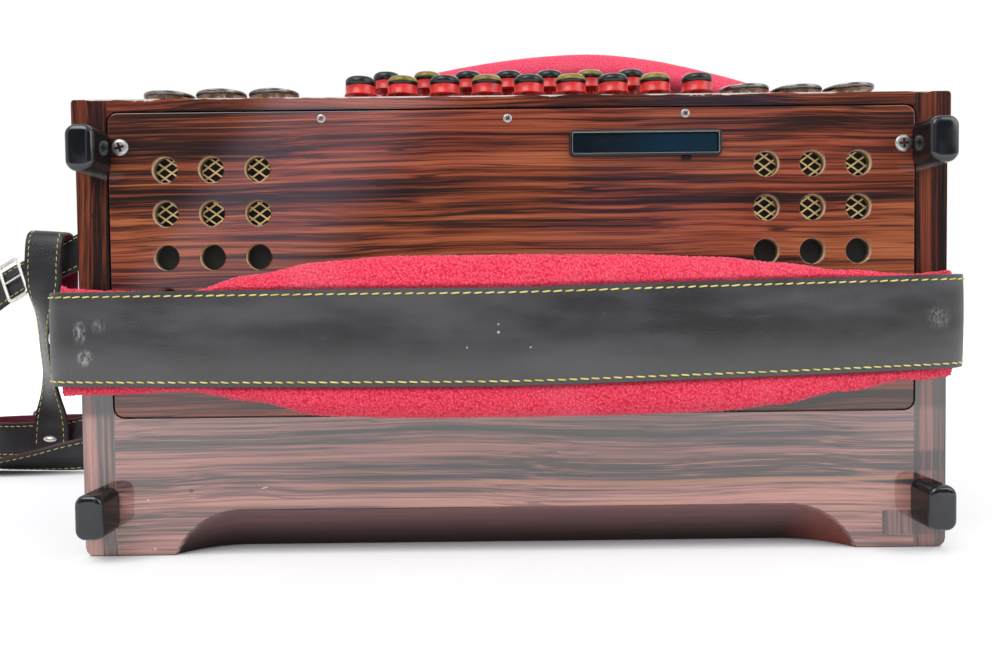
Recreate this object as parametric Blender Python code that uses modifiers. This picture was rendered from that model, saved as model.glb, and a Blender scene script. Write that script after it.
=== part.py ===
"""A diatonic button accordion lying on its back: bass end at -Y, fingerboard at +Y, front upwards.

Metres, +Z up. The origin is the centre of the treble casing's back face, which rests on the ground.
"""

import math

import bmesh
import bpy
from mathutils import Matrix, Vector

# Overall box of the instrument, without feet, keys and straps
BODY_WIDTH = 0.390
BODY_HEIGHT = 0.205
BASS_DEPTH = 0.105
TREBLE_DEPTH = 0.085
BELLOWS_DEPTH = 0.095
HALF_WIDTH = BODY_WIDTH / 2

# Clearances
SEAT_GAP = 0.0003
RUN_GAP = 0.0004
PANEL_GAP = 0.0006

# Casings
WALL = 0.008
END_WALL = 0.008
DIVIDER_AT = 0.050
DIVIDER = 0.006
BACK_CORNER_RADIUS = 0.0035
FRONT_CORNER_RADIUS = 0.0015
FRONT_RAIL_HEIGHT = 0.030
FRONT_RAIL_PROUD = 0.0015
FOUNDATION_BOARD = 0.010

# Thigh scoop: a long round-ended hollow across the bass end's back edge
SCOOP_RADIUS = 0.0388
SCOOP_OUT = 0.0195
SCOOP_BELOW = 0.013
SCOOP_HALF_RUN = 0.124
SCOOP_SIDES = 40

# Bass end cover and its sound holes
COVER_FROM_SIDE = 0.0145
COVER_FROM_FRONT = 0.006
COVER_LOW = 0.0625
COVER_THICKNESS = 0.006
COVER_CORNER_RADIUS = 0.0045
COVER_LEDGE = 0.006
HOLE_RADIUS = 0.0057
HOLE_FIRST_SHARE = 0.5846
HOLE_PITCH_X = 0.0207
HOLE_COLUMNS = 3
HOLE_FROM_FRONT = 0.0315
HOLE_PITCH_Z = 0.0196
HOLE_ROWS = 4
MESH_THICKNESS = 0.001
MESH_ROWS = 2
MESH_MARGIN = 0.0045

# Feet on the bass end
FOOT_WIDTH = 0.0126
FOOT_HEIGHT = 0.020
FOOT_LENGTH = 0.0175
FOOT_CORNER_RADIUS = 0.005
FOOT_EDGE_RADIUS = 0.0015
FOOT_FROM_SIDE = 0.0095
FOOT_FROM_FRONT = 0.024
FOOT_FROM_BACK = 0.021

# Air key, the valve that it opens, and its frame
AIR_KEY_X = 0.0595
AIR_KEY_FROM_FRONT = 0.022
AIR_FRAME_WIDTH = 0.068
AIR_FRAME_HEIGHT = 0.012
AIR_FRAME_PROUD = 0.0028
AIR_FRAME_RIM = 0.0016
AIR_FRAME_RADIUS = 0.0022
AIR_KEY_THICKNESS = 0.003
AIR_KEY_RECESS = 0.0012
AIR_TRAVEL = 0.004
AIR_ROD_RADIUS = 0.0025
AIR_HOLE_WIDTH = 0.044
AIR_HOLE_HEIGHT = 0.016
AIR_VALVE_LAP = 0.004
AIR_VALVE_THICKNESS = 0.004

# Bass buttons: two rows on the front face
BUTTON_PITCH = 0.0193
FRONT_ROW_COUNT = 9
BACK_ROW_COUNT = 7
FRONT_ROW_X = 0.0083
BACK_ROW_X = -0.0007
FRONT_ROW_IN = 0.012
BACK_ROW_IN = 0.027
FRONT_BUTTON_RADIUS = 0.0074
BACK_BUTTON_RADIUS = 0.0069
BUTTON_CAP_HEIGHT = 0.0088
FRONT_BUTTON_RISE = 0.0025
BACK_BUTTON_RISE = 0.0083
BUTTON_STEM_RADIUS = 0.003
BUTTON_COLLAR_RADIUS = 0.0038
BUTTON_COLLAR_LENGTH = 0.0055
BUTTON_EDGE = 0.0009
BUTTON_CROWN = 0.0009
BUTTON_SIDES = 12

# Helikon bells: flared saucers on the front face
BELL_RADIUS = 0.01145
BELL_HEIGHT = 0.0052
BELL_NECK_RADIUS = 0.0044
BELL_FOOT_RADIUS = 0.0052
BELL_FOOT_HEIGHT = 0.0005
BELL_IN = 0.0175
BELLS_OFF_BUTTONS_LEFT = 0.02205
BELLS_OFF_BUTTONS_RIGHT = 0.00435
BELL_PITCH = 0.0244
BELL_TILTS_DEG = (0.0, 2.0, 2.0, 1.0, 0.0, 1.5)
BELL_LIFT = 0.0005
BELL_SIDES = 14

# Hand strap across the bass end
STRAP_THICKNESS = 0.003
STRAP_WIDTH = 0.041
STRAP_Z = 0.0985
STRAP_RISE = 0.004
STRAP_LEFT_OVERHANG = 0.0108
STRAP_RIGHT_OVERHANG = 0.0047
STRAP_BEND_START = 0.004
STRAP_TAIL = 0.030
STRAP_STAND_OFFS = (
    (0.0043, 0.0115),
    (0.0143, 0.0155),
    (0.0390, 0.0195),
    (0.0840, 0.0255),
    (0.1430, 0.0308),
)
STRAP_MIDDLE_STAND_OFF = 0.0325
PAD_END_OUT = 0.0085
PAD_SECTIONS = (
    (-1.000, 0.0735, 0.1220, 0.0026),
    (-0.960, 0.0738, 0.1208, 0.0030),
    (-0.870, 0.0738, 0.1203, 0.0038),
    (-0.700, 0.0742, 0.1200, 0.0060),
    (-0.560, 0.0700, 0.1270, 0.0085),
    (-0.410, 0.0635, 0.1322, 0.0110),
    (-0.250, 0.0626, 0.1342, 0.0122),
    (0.000, 0.0624, 0.1344, 0.0125),
    (0.240, 0.0629, 0.1340, 0.0122),
    (0.430, 0.0636, 0.1326, 0.0110),
    (0.560, 0.0660, 0.1300, 0.0085),
    (0.700, 0.0712, 0.1266, 0.0060),
    (0.860, 0.0762, 0.1240, 0.0038),
    (0.960, 0.0782, 0.1246, 0.0030),
    (1.000, 0.0786, 0.1248, 0.0026),
)
ANCHOR_LENGTH = 0.034
ANCHOR_HEIGHT = 0.030
ANCHOR_OUT = 0.0035
ADJUSTER_HEAD_RADIUS = 0.005
ADJUSTER_HEAD = 0.0024
ADJUSTER_SHAFT_RADIUS = 0.002
ADJUSTER_SHAFT_LENGTH = 0.008

# Bellows
BELLOWS_FRAME = 0.010
BELLOWS_FRAME_RAIL = 0.027
BELLOWS_FRAME_INSET = 0.001
BELLOWS_INSET = 0.002
BELLOWS_FOLDS = 15
BELLOWS_FOLD_DEPTH = 0.020
BELLOWS_WALL = 0.004
BELLOWS_CORNER = 0.012
BELLOWS_OPENING = 0.40

# Straps that hold the bellows shut
BELLOWS_STRAP_WIDTH = 0.020
BELLOWS_STRAP_THICKNESS = 0.0026
BELLOWS_STRAP_Z = 0.045
BELLOWS_STRAP_ON_BASS = 0.018
BELLOWS_STRAP_ON_TREBLE = 0.012
STRAP_OFF_CASING = 0.0006

# Reed blocks, one comb of blocks on each side
REED_BASE = 0.004
REED_BLOCK = 0.022
REED_BLOCK_GAP = 0.012
BASS_REED_LENGTH = 0.300
BASS_REED_DEPTH = 0.040
BASS_REED_BLOCKS = 3
BASS_REED_LOW = 0.045
TREBLE_REED_LENGTH = 0.330
TREBLE_REED_DEPTH = 0.062
TREBLE_REED_BLOCKS = 4
TREBLE_REED_LOW = 0.040

# Fingerboard and its four rows of keys
KEY_PITCH = 0.019
KEY_ROW_COUNTS = (11, 12, 12, 11)
KEY_ROW_SHIFTS = (0.0, 0.0, 0.5, 0.5)
KEY_ROW_PITCH = 0.016
KEY_STEP = 0.006
FIRST_STEP_Z = 0.075
FINGERBOARD_HALF_LENGTH = 0.140
FINGERBOARD_FLOOR = 0.014
FINGERBOARD_LIP = 0.011
LAST_ROW_OUT = 0.0235
KEY_LEVER = 0.018
KEY_AXLE_DROP = 0.007
KEY_AXLE_RADIUS = 0.0015
KEY_AXLE_BORE = 0.00185
KEY_AXLE_OVERRUN = 0.004
KEY_LEVER_WIDTH = 0.003
KEY_SLOT_WIDTH = 0.0045
KEY_SLOT_DEPTH = 0.0102
KEY_SLOT_PAST_AXLE = 0.0035
KEY_SLOT_PAST_BUTTON = 0.0055
KEY_HUB = 0.002
KEY_TIP_LOW = 0.002
KEY_TIP_HIGH = 0.0055
KEY_TIP_PAST_BUTTON = 0.003
KEY_STEM_RADIUS = 0.002
KEY_BUTTON_RADIUS = 0.0065
KEY_BUTTON_RISE = 0.0035
KEY_BUTTON_HEIGHT = 0.0045
KEY_AXLE_SIDES = 6
KEY_SIDES = 8
KEY_PRESS_DEG = 7.0

# Treble cover: a shallow fretted lid over the key mechanism
LID_FROM_SIDE = 0.015
LID_FROM_FRONT = 0.005
LID_LOW = 0.104
LID_DEPTH = 0.013
LID_WALL = 0.003
LID_RADIUS = 0.010
LID_SLOTS = 15
LID_SLOT_PITCH = 0.0225
LID_SLOT_HALF_WIDTH = 0.0042
LID_SLOT_SHORT = 0.016
LID_SLOT_LONG = 0.058

# Shoulder straps, as (x, y, z), the leather's outward direction, and the width
SHOULDER_THICKNESS = 0.0026
NARROW = 0.026
WIDE = 0.060
STRAP_OFF_SIDE = 0.0019
SIDE = HALF_WIDTH + STRAP_OFF_SIDE
STRAP_1_ROUTE = (
    ((SIDE, -0.0145, 0.066), (1, 0, 0), NARROW),
    ((SIDE, -0.0145, 0.092), (1, 0, 0), NARROW),
    ((SIDE + 0.0041, -0.0170, 0.125), (1, 0, -0.1), NARROW),
    ((SIDE + 0.0121, -0.0240, 0.163), (1, 0, -0.1), 0.034),
    ((SIDE + 0.0156, -0.0330, BODY_HEIGHT - 0.0070), (1, 0, 0.3), 0.046),
    ((SIDE + 0.0016, -0.0400, BODY_HEIGHT + 0.0210), (0.6, 0, 0.8), 0.056),
    ((0.1680, -0.0440, BODY_HEIGHT + 0.0350), (0.3, 0.10, 1), WIDE),
    ((0.1200, -0.0450, BODY_HEIGHT + 0.0475), (0.2, 0.15, 1), WIDE),
    ((0.0850, -0.0450, BODY_HEIGHT + 0.0550), (0.1, 0.15, 1), WIDE),
    ((0.0500, -0.0450, BODY_HEIGHT + 0.0580), (0, 0.15, 1), WIDE),
    ((0.0050, -0.0450, BODY_HEIGHT + 0.0550), (-0.1, 0.15, 1), WIDE),
    ((-0.0500, -0.0440, BODY_HEIGHT + 0.0465), (-0.2, 0.12, 1), WIDE),
    ((-0.1100, -0.0400, BODY_HEIGHT + 0.0325), (-0.25, 0.05, 1), WIDE),
    ((-0.1650, -0.0320, BODY_HEIGHT + 0.0200), (-0.3, 0, 1), 0.054),
    ((-SIDE - 0.0181, -0.0200, BODY_HEIGHT), (-0.6, -0.3, 0.8), 0.042),
    ((-SIDE - 0.0681, -0.0090, 0.1755), (-0.4, -0.8, 0.5), 0.031),
    ((-SIDE - 0.1131, -0.0020, 0.1520), (-0.2, -1, 0.25), NARROW),
    ((-SIDE - 0.1391, 0.0000, 0.1405), (-0.1, -1, 0.4), NARROW),
    ((-SIDE - 0.1586, 0.0000, 0.1318), (-0.1, -1, 0.5), NARROW),
    ((-SIDE - 0.1901, -0.0010, 0.1090), (-0.3, -1, 0.2), NARROW),
    ((-SIDE - 0.2061, -0.0050, 0.0820), (-0.8, -0.8, 0), NARROW),
    ((-SIDE - 0.2111, -0.0130, 0.0540), (-1, -0.5, 0), NARROW),
    ((-SIDE - 0.2051, -0.0240, 0.0290), (-1, -0.5, -0.3), NARROW),
    ((-SIDE - 0.1881, -0.0340, 0.0120), (-0.6, -0.6, -0.8), NARROW),
    ((-SIDE - 0.1581, -0.0400, 0.0060), (0, -0.35, -0.95), NARROW),
    ((-SIDE - 0.1281, -0.0420, 0.0080), (0, -0.55, -0.85), NARROW),
    ((-SIDE - 0.0981, -0.0410, 0.0118), (0, -0.85, -0.55), NARROW),
    ((-SIDE - 0.0581, -0.0370, 0.0165), (-0.2, -1, 0), NARROW),
    ((-SIDE - 0.0251, -0.0260, 0.0260), (-1, -0.8, 0), NARROW),
    ((-SIDE - 0.0071, -0.0170, 0.0420), (-1, -0.2, 0), NARROW),
    ((-SIDE, -0.0145, 0.0600), (-1, 0, 0), NARROW),
    ((-SIDE, -0.0145, 0.0860), (-1, 0, 0), NARROW),
)
STRAP_2_ROUTE = (
    ((SIDE, 0.0145, 0.066), (1, 0, 0), NARROW),
    ((SIDE, 0.0145, 0.092), (1, 0, 0), NARROW),
    ((SIDE + 0.0031, 0.0150, 0.130), (1, 0, -0.1), NARROW),
    ((SIDE + 0.0091, 0.0190, 0.170), (1, 0, -0.1), 0.034),
    ((SIDE + 0.0101, 0.0270, BODY_HEIGHT - 0.0010), (1, 0, 0.4), 0.044),
    ((SIDE - 0.0089, 0.0350, BODY_HEIGHT + 0.0230), (0.6, 0, 0.8), 0.052),
    ((0.1500, 0.0400, BODY_HEIGHT + 0.0335), (0.15, 0, 1), WIDE),
    ((0.0900, 0.0400, BODY_HEIGHT + 0.0365), (0, 0, 1), WIDE),
    ((0.0200, 0.0400, BODY_HEIGHT + 0.0350), (-0.05, 0, 1), WIDE),
    ((-0.0500, 0.0400, BODY_HEIGHT + 0.0320), (-0.05, 0, 1), WIDE),
    ((-0.1200, 0.0390, BODY_HEIGHT + 0.0280), (-0.1, 0, 1), 0.058),
    ((-0.1700, 0.0370, BODY_HEIGHT + 0.0210), (-0.3, 0, 1), 0.050),
    ((-SIDE - 0.0131, 0.0350, BODY_HEIGHT), (-0.8, 0, 0.7), 0.042),
    ((-SIDE - 0.0331, 0.0330, 0.1650), (-1, 0, 0.2), 0.034),
    ((-SIDE - 0.0411, 0.0310, 0.1150), (-1, -0.1, 0.1), NARROW),
    ((-SIDE - 0.0511, 0.0270, 0.0680), (-0.9, -0.5, 0.3), NARROW),
    ((-SIDE - 0.0781, 0.0200, 0.0340), (-0.4, -1, 0.3), NARROW),
    ((-SIDE - 0.1181, 0.0150, 0.0185), (-0.05, -1, 0.1), NARROW),
    ((-SIDE - 0.1581, 0.0140, 0.0145), (0, -1, 0.05), NARROW),
    ((-SIDE - 0.1931, 0.0180, 0.0145), (-0.5, -1, 0), NARROW),
    ((-SIDE - 0.2111, 0.0330, 0.0145), (-1, -0.1, 0), NARROW),
    ((-SIDE - 0.2051, 0.0500, 0.0145), (-0.7, 0.8, 0), NARROW),
    ((-SIDE - 0.1731, 0.0600, 0.0145), (-0.1, 1, 0), NARROW),
    ((-SIDE - 0.1231, 0.0600, 0.0150), (0.05, 1, 0), NARROW),
    ((-SIDE - 0.0731, 0.0540, 0.0160), (0.2, 1, 0), NARROW),
    ((-SIDE - 0.0351, 0.0400, 0.0210), (0.7, 0.8, 0), NARROW),
    ((-SIDE - 0.0121, 0.0230, 0.0350), (1, 0.5, 0), NARROW),
    ((-SIDE - 0.0016, 0.0155, 0.0500), (1, 0.1, 0), NARROW),
    ((-SIDE, 0.0145, 0.0640), (1, 0, 0), NARROW),
    ((-SIDE, 0.0145, 0.0860), (1, 0, 0), NARROW),
)
SHOULDER_PAD_THICKNESS = 0.011
SHOULDER_PAD_OVERHANG = 0.003
STRAP_1_PAD_RANGE = (4, 13)
STRAP_2_PAD_RANGE = (5, 11)
STRAP_1_BUCKLE_AT = 18
STRAP_2_BUCKLE_AT = 22
BUCKLE_LENGTH = 0.015
BUCKLE_OVERHANG = 0.003
BUCKLE_WIRE = 0.0013
CROSS_STRAP_WIDTH = 0.026
CROSS_STRAP_ROUTE = (
    ((-SIDE - 0.1316, 0.0110, 0.1240), (0.1, 1, 0)),
    ((-SIDE - 0.1316, 0.0115, 0.1450), (0.1, 1, 0.1)),
    ((-SIDE - 0.1316, 0.0065, 0.1642), (0.1, 0.7, 1)),
    ((-SIDE - 0.1316, -0.0085, 0.1642), (0.05, -0.7, 1)),
    ((-SIDE - 0.1316, -0.0135, 0.1470), (0.0, -1, 0.1)),
    ((-SIDE - 0.1316, -0.0145, 0.1290), (-0.1, -1, 0)),
    ((-SIDE - 0.1341, -0.0110, 0.1120), (-0.6, -0.9, 0)),
    ((-SIDE - 0.1371, -0.0045, 0.0960), (-0.74, -0.67, 0)),
    ((-SIDE - 0.1381, -0.0005, 0.0800), (-0.76, -0.65, 0)),
    ((-SIDE - 0.1381, 0.0030, 0.0640), (-0.74, -0.67, 0)),
    ((-SIDE - 0.1386, 0.0060, 0.0480), (-0.6, -0.85, 0)),
    ((-SIDE - 0.1396, 0.0075, 0.0320), (-0.2, -1, 0.1)),
    ((-SIDE - 0.1406, 0.0080, 0.0160), (0, -1, 0.1)),
    ((-SIDE - 0.1411, 0.0080, 0.0030), (0, -1, 0.1)),
)
BRACKET_THICKNESS = 0.002
BRACKET_HEIGHT = 0.011
BRACKET_Z = 0.076
BRACKET_HALF_LENGTH = 0.039
BRACKET_FOOT = 0.009
BRACKET_BRIDGE = 0.0034
PER_SPAN = 2

# Values that follow from those above
TREBLE_INNER_Y = -TREBLE_DEPTH / 2
TREBLE_OUTER_Y = TREBLE_DEPTH / 2
BASS_INNER_Y = TREBLE_INNER_Y - BELLOWS_DEPTH
END_Y = BASS_INNER_Y - BASS_DEPTH
COVER_HALF_WIDTH = HALF_WIDTH - COVER_FROM_SIDE
COVER_HIGH = BODY_HEIGHT - COVER_FROM_FRONT
COVER_MIDDLE_Z = (COVER_LOW + COVER_HIGH) / 2
COVER_HALF_HEIGHT = (COVER_HIGH - COVER_LOW) / 2
HOLE_FIRST_X = HOLE_FIRST_SHARE * HALF_WIDTH
HOLE_TOP_Z = BODY_HEIGHT - HOLE_FROM_FRONT
AIR_KEY_Z = BODY_HEIGHT - AIR_KEY_FROM_FRONT
AIR_VALVE_Y = END_Y + DIVIDER_AT + DIVIDER + SEAT_GAP
LID_HALF_LENGTH = HALF_WIDTH - LID_FROM_SIDE
LID_HIGH = BODY_HEIGHT - LID_FROM_FRONT

COLOURS = {
    "rosewood": ((0.30, 0.12, 0.06), 0.35, 0.0),
    "bare_wood": ((0.75, 0.58, 0.38), 0.6, 0.0),
    "black_gloss": ((0.015, 0.015, 0.018), 0.2, 0.0),
    "nickel": ((0.75, 0.74, 0.70), 0.2, 1.0),
    "gold_mesh": ((0.83, 0.62, 0.22), 0.35, 1.0),
    "leather": ((0.07, 0.07, 0.075), 0.55, 0.0),
    "red_boucle": ((0.80, 0.06, 0.14), 0.9, 0.0),
    "red_plastic": ((0.72, 0.05, 0.04), 0.3, 0.0),
    "bellows_cloth": ((0.20, 0.02, 0.03), 0.7, 0.0),
    "felt": ((0.10, 0.10, 0.10), 0.95, 0.0),
    "pearl": ((0.86, 0.84, 0.78), 0.25, 0.0),
}


def clear_scene():
    for obj in list(bpy.data.objects):
        bpy.data.objects.remove(obj, do_unlink=True)


def new_collection(name):
    made = bpy.data.collections.new(name)
    bpy.context.scene.collection.children.link(made)
    return made


def new_material(name, colour, roughness, metallic):
    made = bpy.data.materials.new(name)
    made.use_nodes = True
    shader = made.node_tree.nodes["Principled BSDF"]
    shader.inputs["Base Color"].default_value = (*colour, 1.0)
    shader.inputs["Roughness"].default_value = roughness
    shader.inputs["Metallic"].default_value = metallic
    made.diffuse_color = (*colour, 1.0)
    return made


clear_scene()
PARTS = new_collection("accordion")
TOOLS = new_collection("cutters")
MATERIALS = {name: new_material(name, *look) for name, look in COLOURS.items()}


# Objects

def part(name, form, finish, origin=(0.0, 0.0, 0.0), rotation=None):
    """A node of the accordion. form is a bmesh in world space, or a mesh already centred on origin."""
    if isinstance(form, bmesh.types.BMesh):
        mesh = bpy.data.meshes.new(name)
        bmesh.ops.translate(form, vec=-Vector(origin), verts=form.verts)
        form.to_mesh(mesh)
        form.free()
    else:
        mesh = form
    obj = bpy.data.objects.new(name, mesh)
    obj.location = origin
    if rotation is not None:
        obj.rotation_euler = rotation
    mesh.materials.append(MATERIALS[finish])
    PARTS.objects.link(obj)
    return obj


def cutter(name, form):
    """A helper that cuts or joins other objects, left out of the model itself."""
    mesh = bpy.data.meshes.new(name)
    form.to_mesh(mesh)
    form.free()
    obj = bpy.data.objects.new(name, mesh)
    obj.hide_render = True
    obj.display_type = "WIRE"
    TOOLS.objects.link(obj)
    return obj


def combine(obj, other, operation):
    modifier = obj.modifiers.new(other.name, "BOOLEAN")
    modifier.operation = operation
    modifier.object = other


def cut(obj, *others):
    for other in others:
        combine(obj, other, "DIFFERENCE")


def join(obj, *others):
    for other in others:
        combine(obj, other, "UNION")


def shade_smooth(obj, angle_deg=35.0):
    obj.data.shade_smooth()
    obj.data.set_sharp_from_angle(angle=math.radians(angle_deg))


# Forms

def add_block(bm, low, high):
    low, high = Vector(low), Vector(high)
    place = Matrix.Translation((low + high) / 2) @ Matrix.Diagonal((*(high - low), 1.0))
    bmesh.ops.create_cube(bm, size=1.0, matrix=place)


def block(low, high):
    bm = bmesh.new()
    add_block(bm, low, high)
    return bm


def add_rod(bm, start, end, radius, sides):
    start, end = Vector(start), Vector(end)
    along = end - start
    turn = along.to_track_quat("Z", "Y").to_matrix().to_4x4()
    bmesh.ops.create_cone(
        bm,
        cap_ends=True,
        segments=sides,
        radius1=radius,
        radius2=radius,
        depth=along.length,
        matrix=Matrix.Translation((start + end) / 2) @ turn,
    )


def add_prism(bm, outline, run):
    """outline is a closed list of points in space, and run the way that it is drawn out."""
    face = bm.faces.new([bm.verts.new(p) for p in outline])
    made = bmesh.ops.extrude_face_region(bm, geom=[face])
    moved = [v for v in made["geom"] if isinstance(v, bmesh.types.BMVert)]
    bmesh.ops.translate(bm, vec=run, verts=moved)
    bmesh.ops.recalc_face_normals(bm, faces=bm.faces)


def prism(outline, run):
    bm = bmesh.new()
    add_prism(bm, outline, run)
    return bm


def arc(centre, radius, start_deg, end_deg, steps):
    """Points of an arc in a plane, both ends included."""
    angles = [
        math.radians(start_deg + (end_deg - start_deg) * i / steps)
        for i in range(steps + 1)
    ]
    return [(centre[0] + radius * math.cos(a), centre[1] + radius * math.sin(a)) for a in angles]


def rounded_rectangle(half_width, half_height, radius, steps=4):
    points = []
    for sx, sy, start in ((1, 1, 0), (-1, 1, 90), (-1, -1, 180), (1, -1, 270)):
        corner = (sx * (half_width - radius), sy * (half_height - radius))
        points += arc(corner, radius, start, start + 90, steps)
    return points


def on_end_plane(outline, middle_x, middle_z, y):
    return [(middle_x + u, y, middle_z + v) for u, v in outline]


def turned(name, profile, steps, finish, origin, rotation=None):
    """A turned piece. profile is (radius, height) from the axis at the top down to the axis at the bottom."""
    mesh = bpy.data.meshes.new(name)
    points = [(r, 0.0, h) for r, h in profile]
    mesh.from_pydata(points, [(i, i + 1) for i in range(len(points) - 1)], [])
    obj = part(name, mesh, finish, origin, rotation)
    screw = obj.modifiers.new("turning", "SCREW")
    screw.steps = steps
    screw.render_steps = steps
    screw.use_merge_vertices = True
    screw.merge_threshold = 1e-6
    return obj


def add_turned(bm, profile, centre, steps):
    """The same turned form, added to a mesh that holds several."""
    verts = [bm.verts.new(Vector(centre) + Vector((r, 0.0, h))) for r, h in profile]
    edges = [bm.edges.new(pair) for pair in zip(verts, verts[1:])]
    bmesh.ops.spin(
        bm,
        geom=verts + edges,
        cent=centre,
        axis=(0, 0, 1),
        angle=2 * math.pi,
        steps=steps,
        use_merge=True,
    )


def tidy(bm, distance=1e-6):
    bmesh.ops.remove_doubles(bm, verts=bm.verts, dist=distance)
    bmesh.ops.recalc_face_normals(bm, faces=bm.faces)
    return bm


def loft(rings, closed=False):
    """A skin over rings of equally many points, capped at both ends unless it closes on itself."""
    bm = bmesh.new()
    made = [[bm.verts.new(p) for p in ring] for ring in rings]
    around = len(made[0])
    pairs = list(zip(made, made[1:])) + ([(made[-1], made[0])] if closed else [])
    for near, far in pairs:
        for i in range(around):
            j = (i + 1) % around
            bm.faces.new((near[i], near[j], far[j], far[i]))
    if not closed:
        bm.faces.new(made[0])
        bm.faces.new(made[-1])
    bmesh.ops.recalc_face_normals(bm, faces=bm.faces)
    return bm


def smooth(rows, per_span):
    """Rows of numbers read along a Catmull-Rom curve through them."""
    count = len(rows)
    found = []
    for i in range(count - 1):
        a, b, c, d = (rows[max(0, min(count - 1, i + k))] for k in (-1, 0, 1, 2))
        for step in range(per_span):
            t = step / per_span
            found.append([
                0.5 * (2 * q + (r - p) * t + (2 * p - 5 * q + 4 * r - s) * t * t + (3 * q - p - 3 * r + s) * t**3)
                for p, q, r, s in zip(a, b, c, d)
            ])
    found.append(list(rows[-1]))
    return found


def strap_frames(samples):
    """(middle, outward, sideways, width) along a strap, from rows of place, outward direction and width."""
    middles = [Vector(row[:3]) for row in samples]
    last = len(samples) - 1
    frames = []
    for i, row in enumerate(samples):
        along = (middles[min(i + 1, last)] - middles[max(i - 1, 0)]).normalized()
        sideways = along.cross(Vector(row[3:6])).normalized()
        frames.append((middles[i], sideways.cross(along), sideways, row[6]))
    return frames


def split_evenly(bm):
    """Every face cut along the same diagonal, so that twisted neighbours stay parallel."""
    bmesh.ops.triangulate(bm, faces=bm.faces, quad_method="FIXED", ngon_method="BEAUTY")
    return bm


def ribbon(frames, thickness):
    half = thickness / 2
    return split_evenly(loft([
        [
            middle + sideways * (width / 2) * u + outward * half * v
            for u, v in ((1, 1), (-1, 1), (-1, -1), (1, -1))
        ]
        for middle, outward, sideways, width in frames
    ]))


def casing_outline(y):
    """The casings' section: small corners at the back, and a front rail that stands a little proud."""
    wide = HALF_WIDTH + FRONT_RAIL_PROUD
    rail_z = BODY_HEIGHT - FRONT_RAIL_HEIGHT
    low = (HALF_WIDTH - BACK_CORNER_RADIUS, BACK_CORNER_RADIUS)
    high = (wide - FRONT_CORNER_RADIUS, BODY_HEIGHT - FRONT_CORNER_RADIUS)
    right = arc(low, BACK_CORNER_RADIUS, -90, 0, 3)
    right += [(HALF_WIDTH, rail_z - FRONT_RAIL_PROUD), (wide, rail_z)]
    right += arc(high, FRONT_CORNER_RADIUS, 0, 90, 2)
    left = [(-x, z) for x, z in reversed(right)]
    return [(x, y, z) for x, z in right + left]


# Bass side

def capsule(radius):
    """The scoop's round-ended form, lying along X."""
    bm = bmesh.new()
    quarter = Matrix.Rotation(math.pi / 2, 4, "Y")
    bmesh.ops.create_uvsphere(
        bm, u_segments=SCOOP_SIDES, v_segments=SCOOP_SIDES // 2 + 1, radius=radius, matrix=quarter
    )
    for v in bm.verts:
        v.co += Vector((math.copysign(SCOOP_HALF_RUN, v.co.x), END_Y - SCOOP_OUT, -SCOOP_BELOW))
    return bm


def button_places():
    """(name, x, y, cap radius, rise over the front face) of every bass button."""
    rows = (
        ("front", FRONT_ROW_COUNT, FRONT_ROW_X, FRONT_ROW_IN, FRONT_BUTTON_RADIUS, FRONT_BUTTON_RISE),
        ("back", BACK_ROW_COUNT, BACK_ROW_X, BACK_ROW_IN, BACK_BUTTON_RADIUS, BACK_BUTTON_RISE),
    )
    for row, count, middle, inward, radius, rise in rows:
        for i in range(count):
            x = middle + (i - (count - 1) / 2) * BUTTON_PITCH
            yield f"bass_button_{row}_{i + 1}", x, END_Y + inward, radius, rise


def make_bass_casing():
    body = part("bass_casing", prism(casing_outline(END_Y), (0, BASS_DEPTH, 0)), "rosewood")
    inside = HALF_WIDTH - WALL
    low, high = WALL, BODY_HEIGHT - WALL
    front = cutter(
        "bass_front_chamber",
        block((-inside, END_Y + END_WALL, low), (inside, END_Y + DIVIDER_AT, high)),
    )
    cut(front, cutter("scoop_liner", capsule(SCOOP_RADIUS + WALL)))
    rear = cutter(
        "bass_rear_chamber",
        block((-inside, END_Y + DIVIDER_AT + DIVIDER, low), (inside, BASS_INNER_Y + WALL, high)),
    )
    seat = rounded_rectangle(
        COVER_HALF_WIDTH + PANEL_GAP, COVER_HALF_HEIGHT + PANEL_GAP, COVER_CORNER_RADIUS + PANEL_GAP
    )
    rebate = cutter(
        "cover_rebate",
        prism(
            on_end_plane(seat, 0.0, COVER_MIDDLE_Z, END_Y - WALL),
            (0, WALL + COVER_THICKNESS + SEAT_GAP, 0),
        ),
    )
    across, up = COVER_HALF_WIDTH - COVER_LEDGE, COVER_HALF_HEIGHT - COVER_LEDGE
    opening = cutter(
        "cover_opening",
        block(
            (-across, END_Y - WALL, COVER_MIDDLE_Z - up),
            (across, END_Y + END_WALL + WALL / 2, COVER_MIDDLE_Z + up),
        ),
    )
    air = cutter(
        "air_hole",
        block(
            (AIR_KEY_X - AIR_HOLE_WIDTH / 2, END_Y + DIVIDER_AT - DIVIDER, AIR_KEY_Z - AIR_HOLE_HEIGHT / 2),
            (AIR_KEY_X + AIR_HOLE_WIDTH / 2, END_Y + DIVIDER_AT + 2 * DIVIDER, AIR_KEY_Z + AIR_HOLE_HEIGHT / 2),
        ),
    )
    guides = bmesh.new()
    for _, x, y, _, _ in button_places():
        top = BODY_HEIGHT + WALL
        add_rod(guides, (x, y, BODY_HEIGHT - 2 * WALL), (x, y, top), BUTTON_STEM_RADIUS + RUN_GAP, BUTTON_SIDES)
    cut(body, front, rear, rebate, opening, air, cutter("button_guides", guides))
    cut(body, cutter("thigh_scoop", capsule(SCOOP_RADIUS)))


def hole_places():
    for side in (-1, 1):
        for column in range(HOLE_COLUMNS):
            for row in range(HOLE_ROWS):
                yield side * (HOLE_FIRST_X + column * HOLE_PITCH_X), HOLE_TOP_Z - row * HOLE_PITCH_Z


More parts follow.
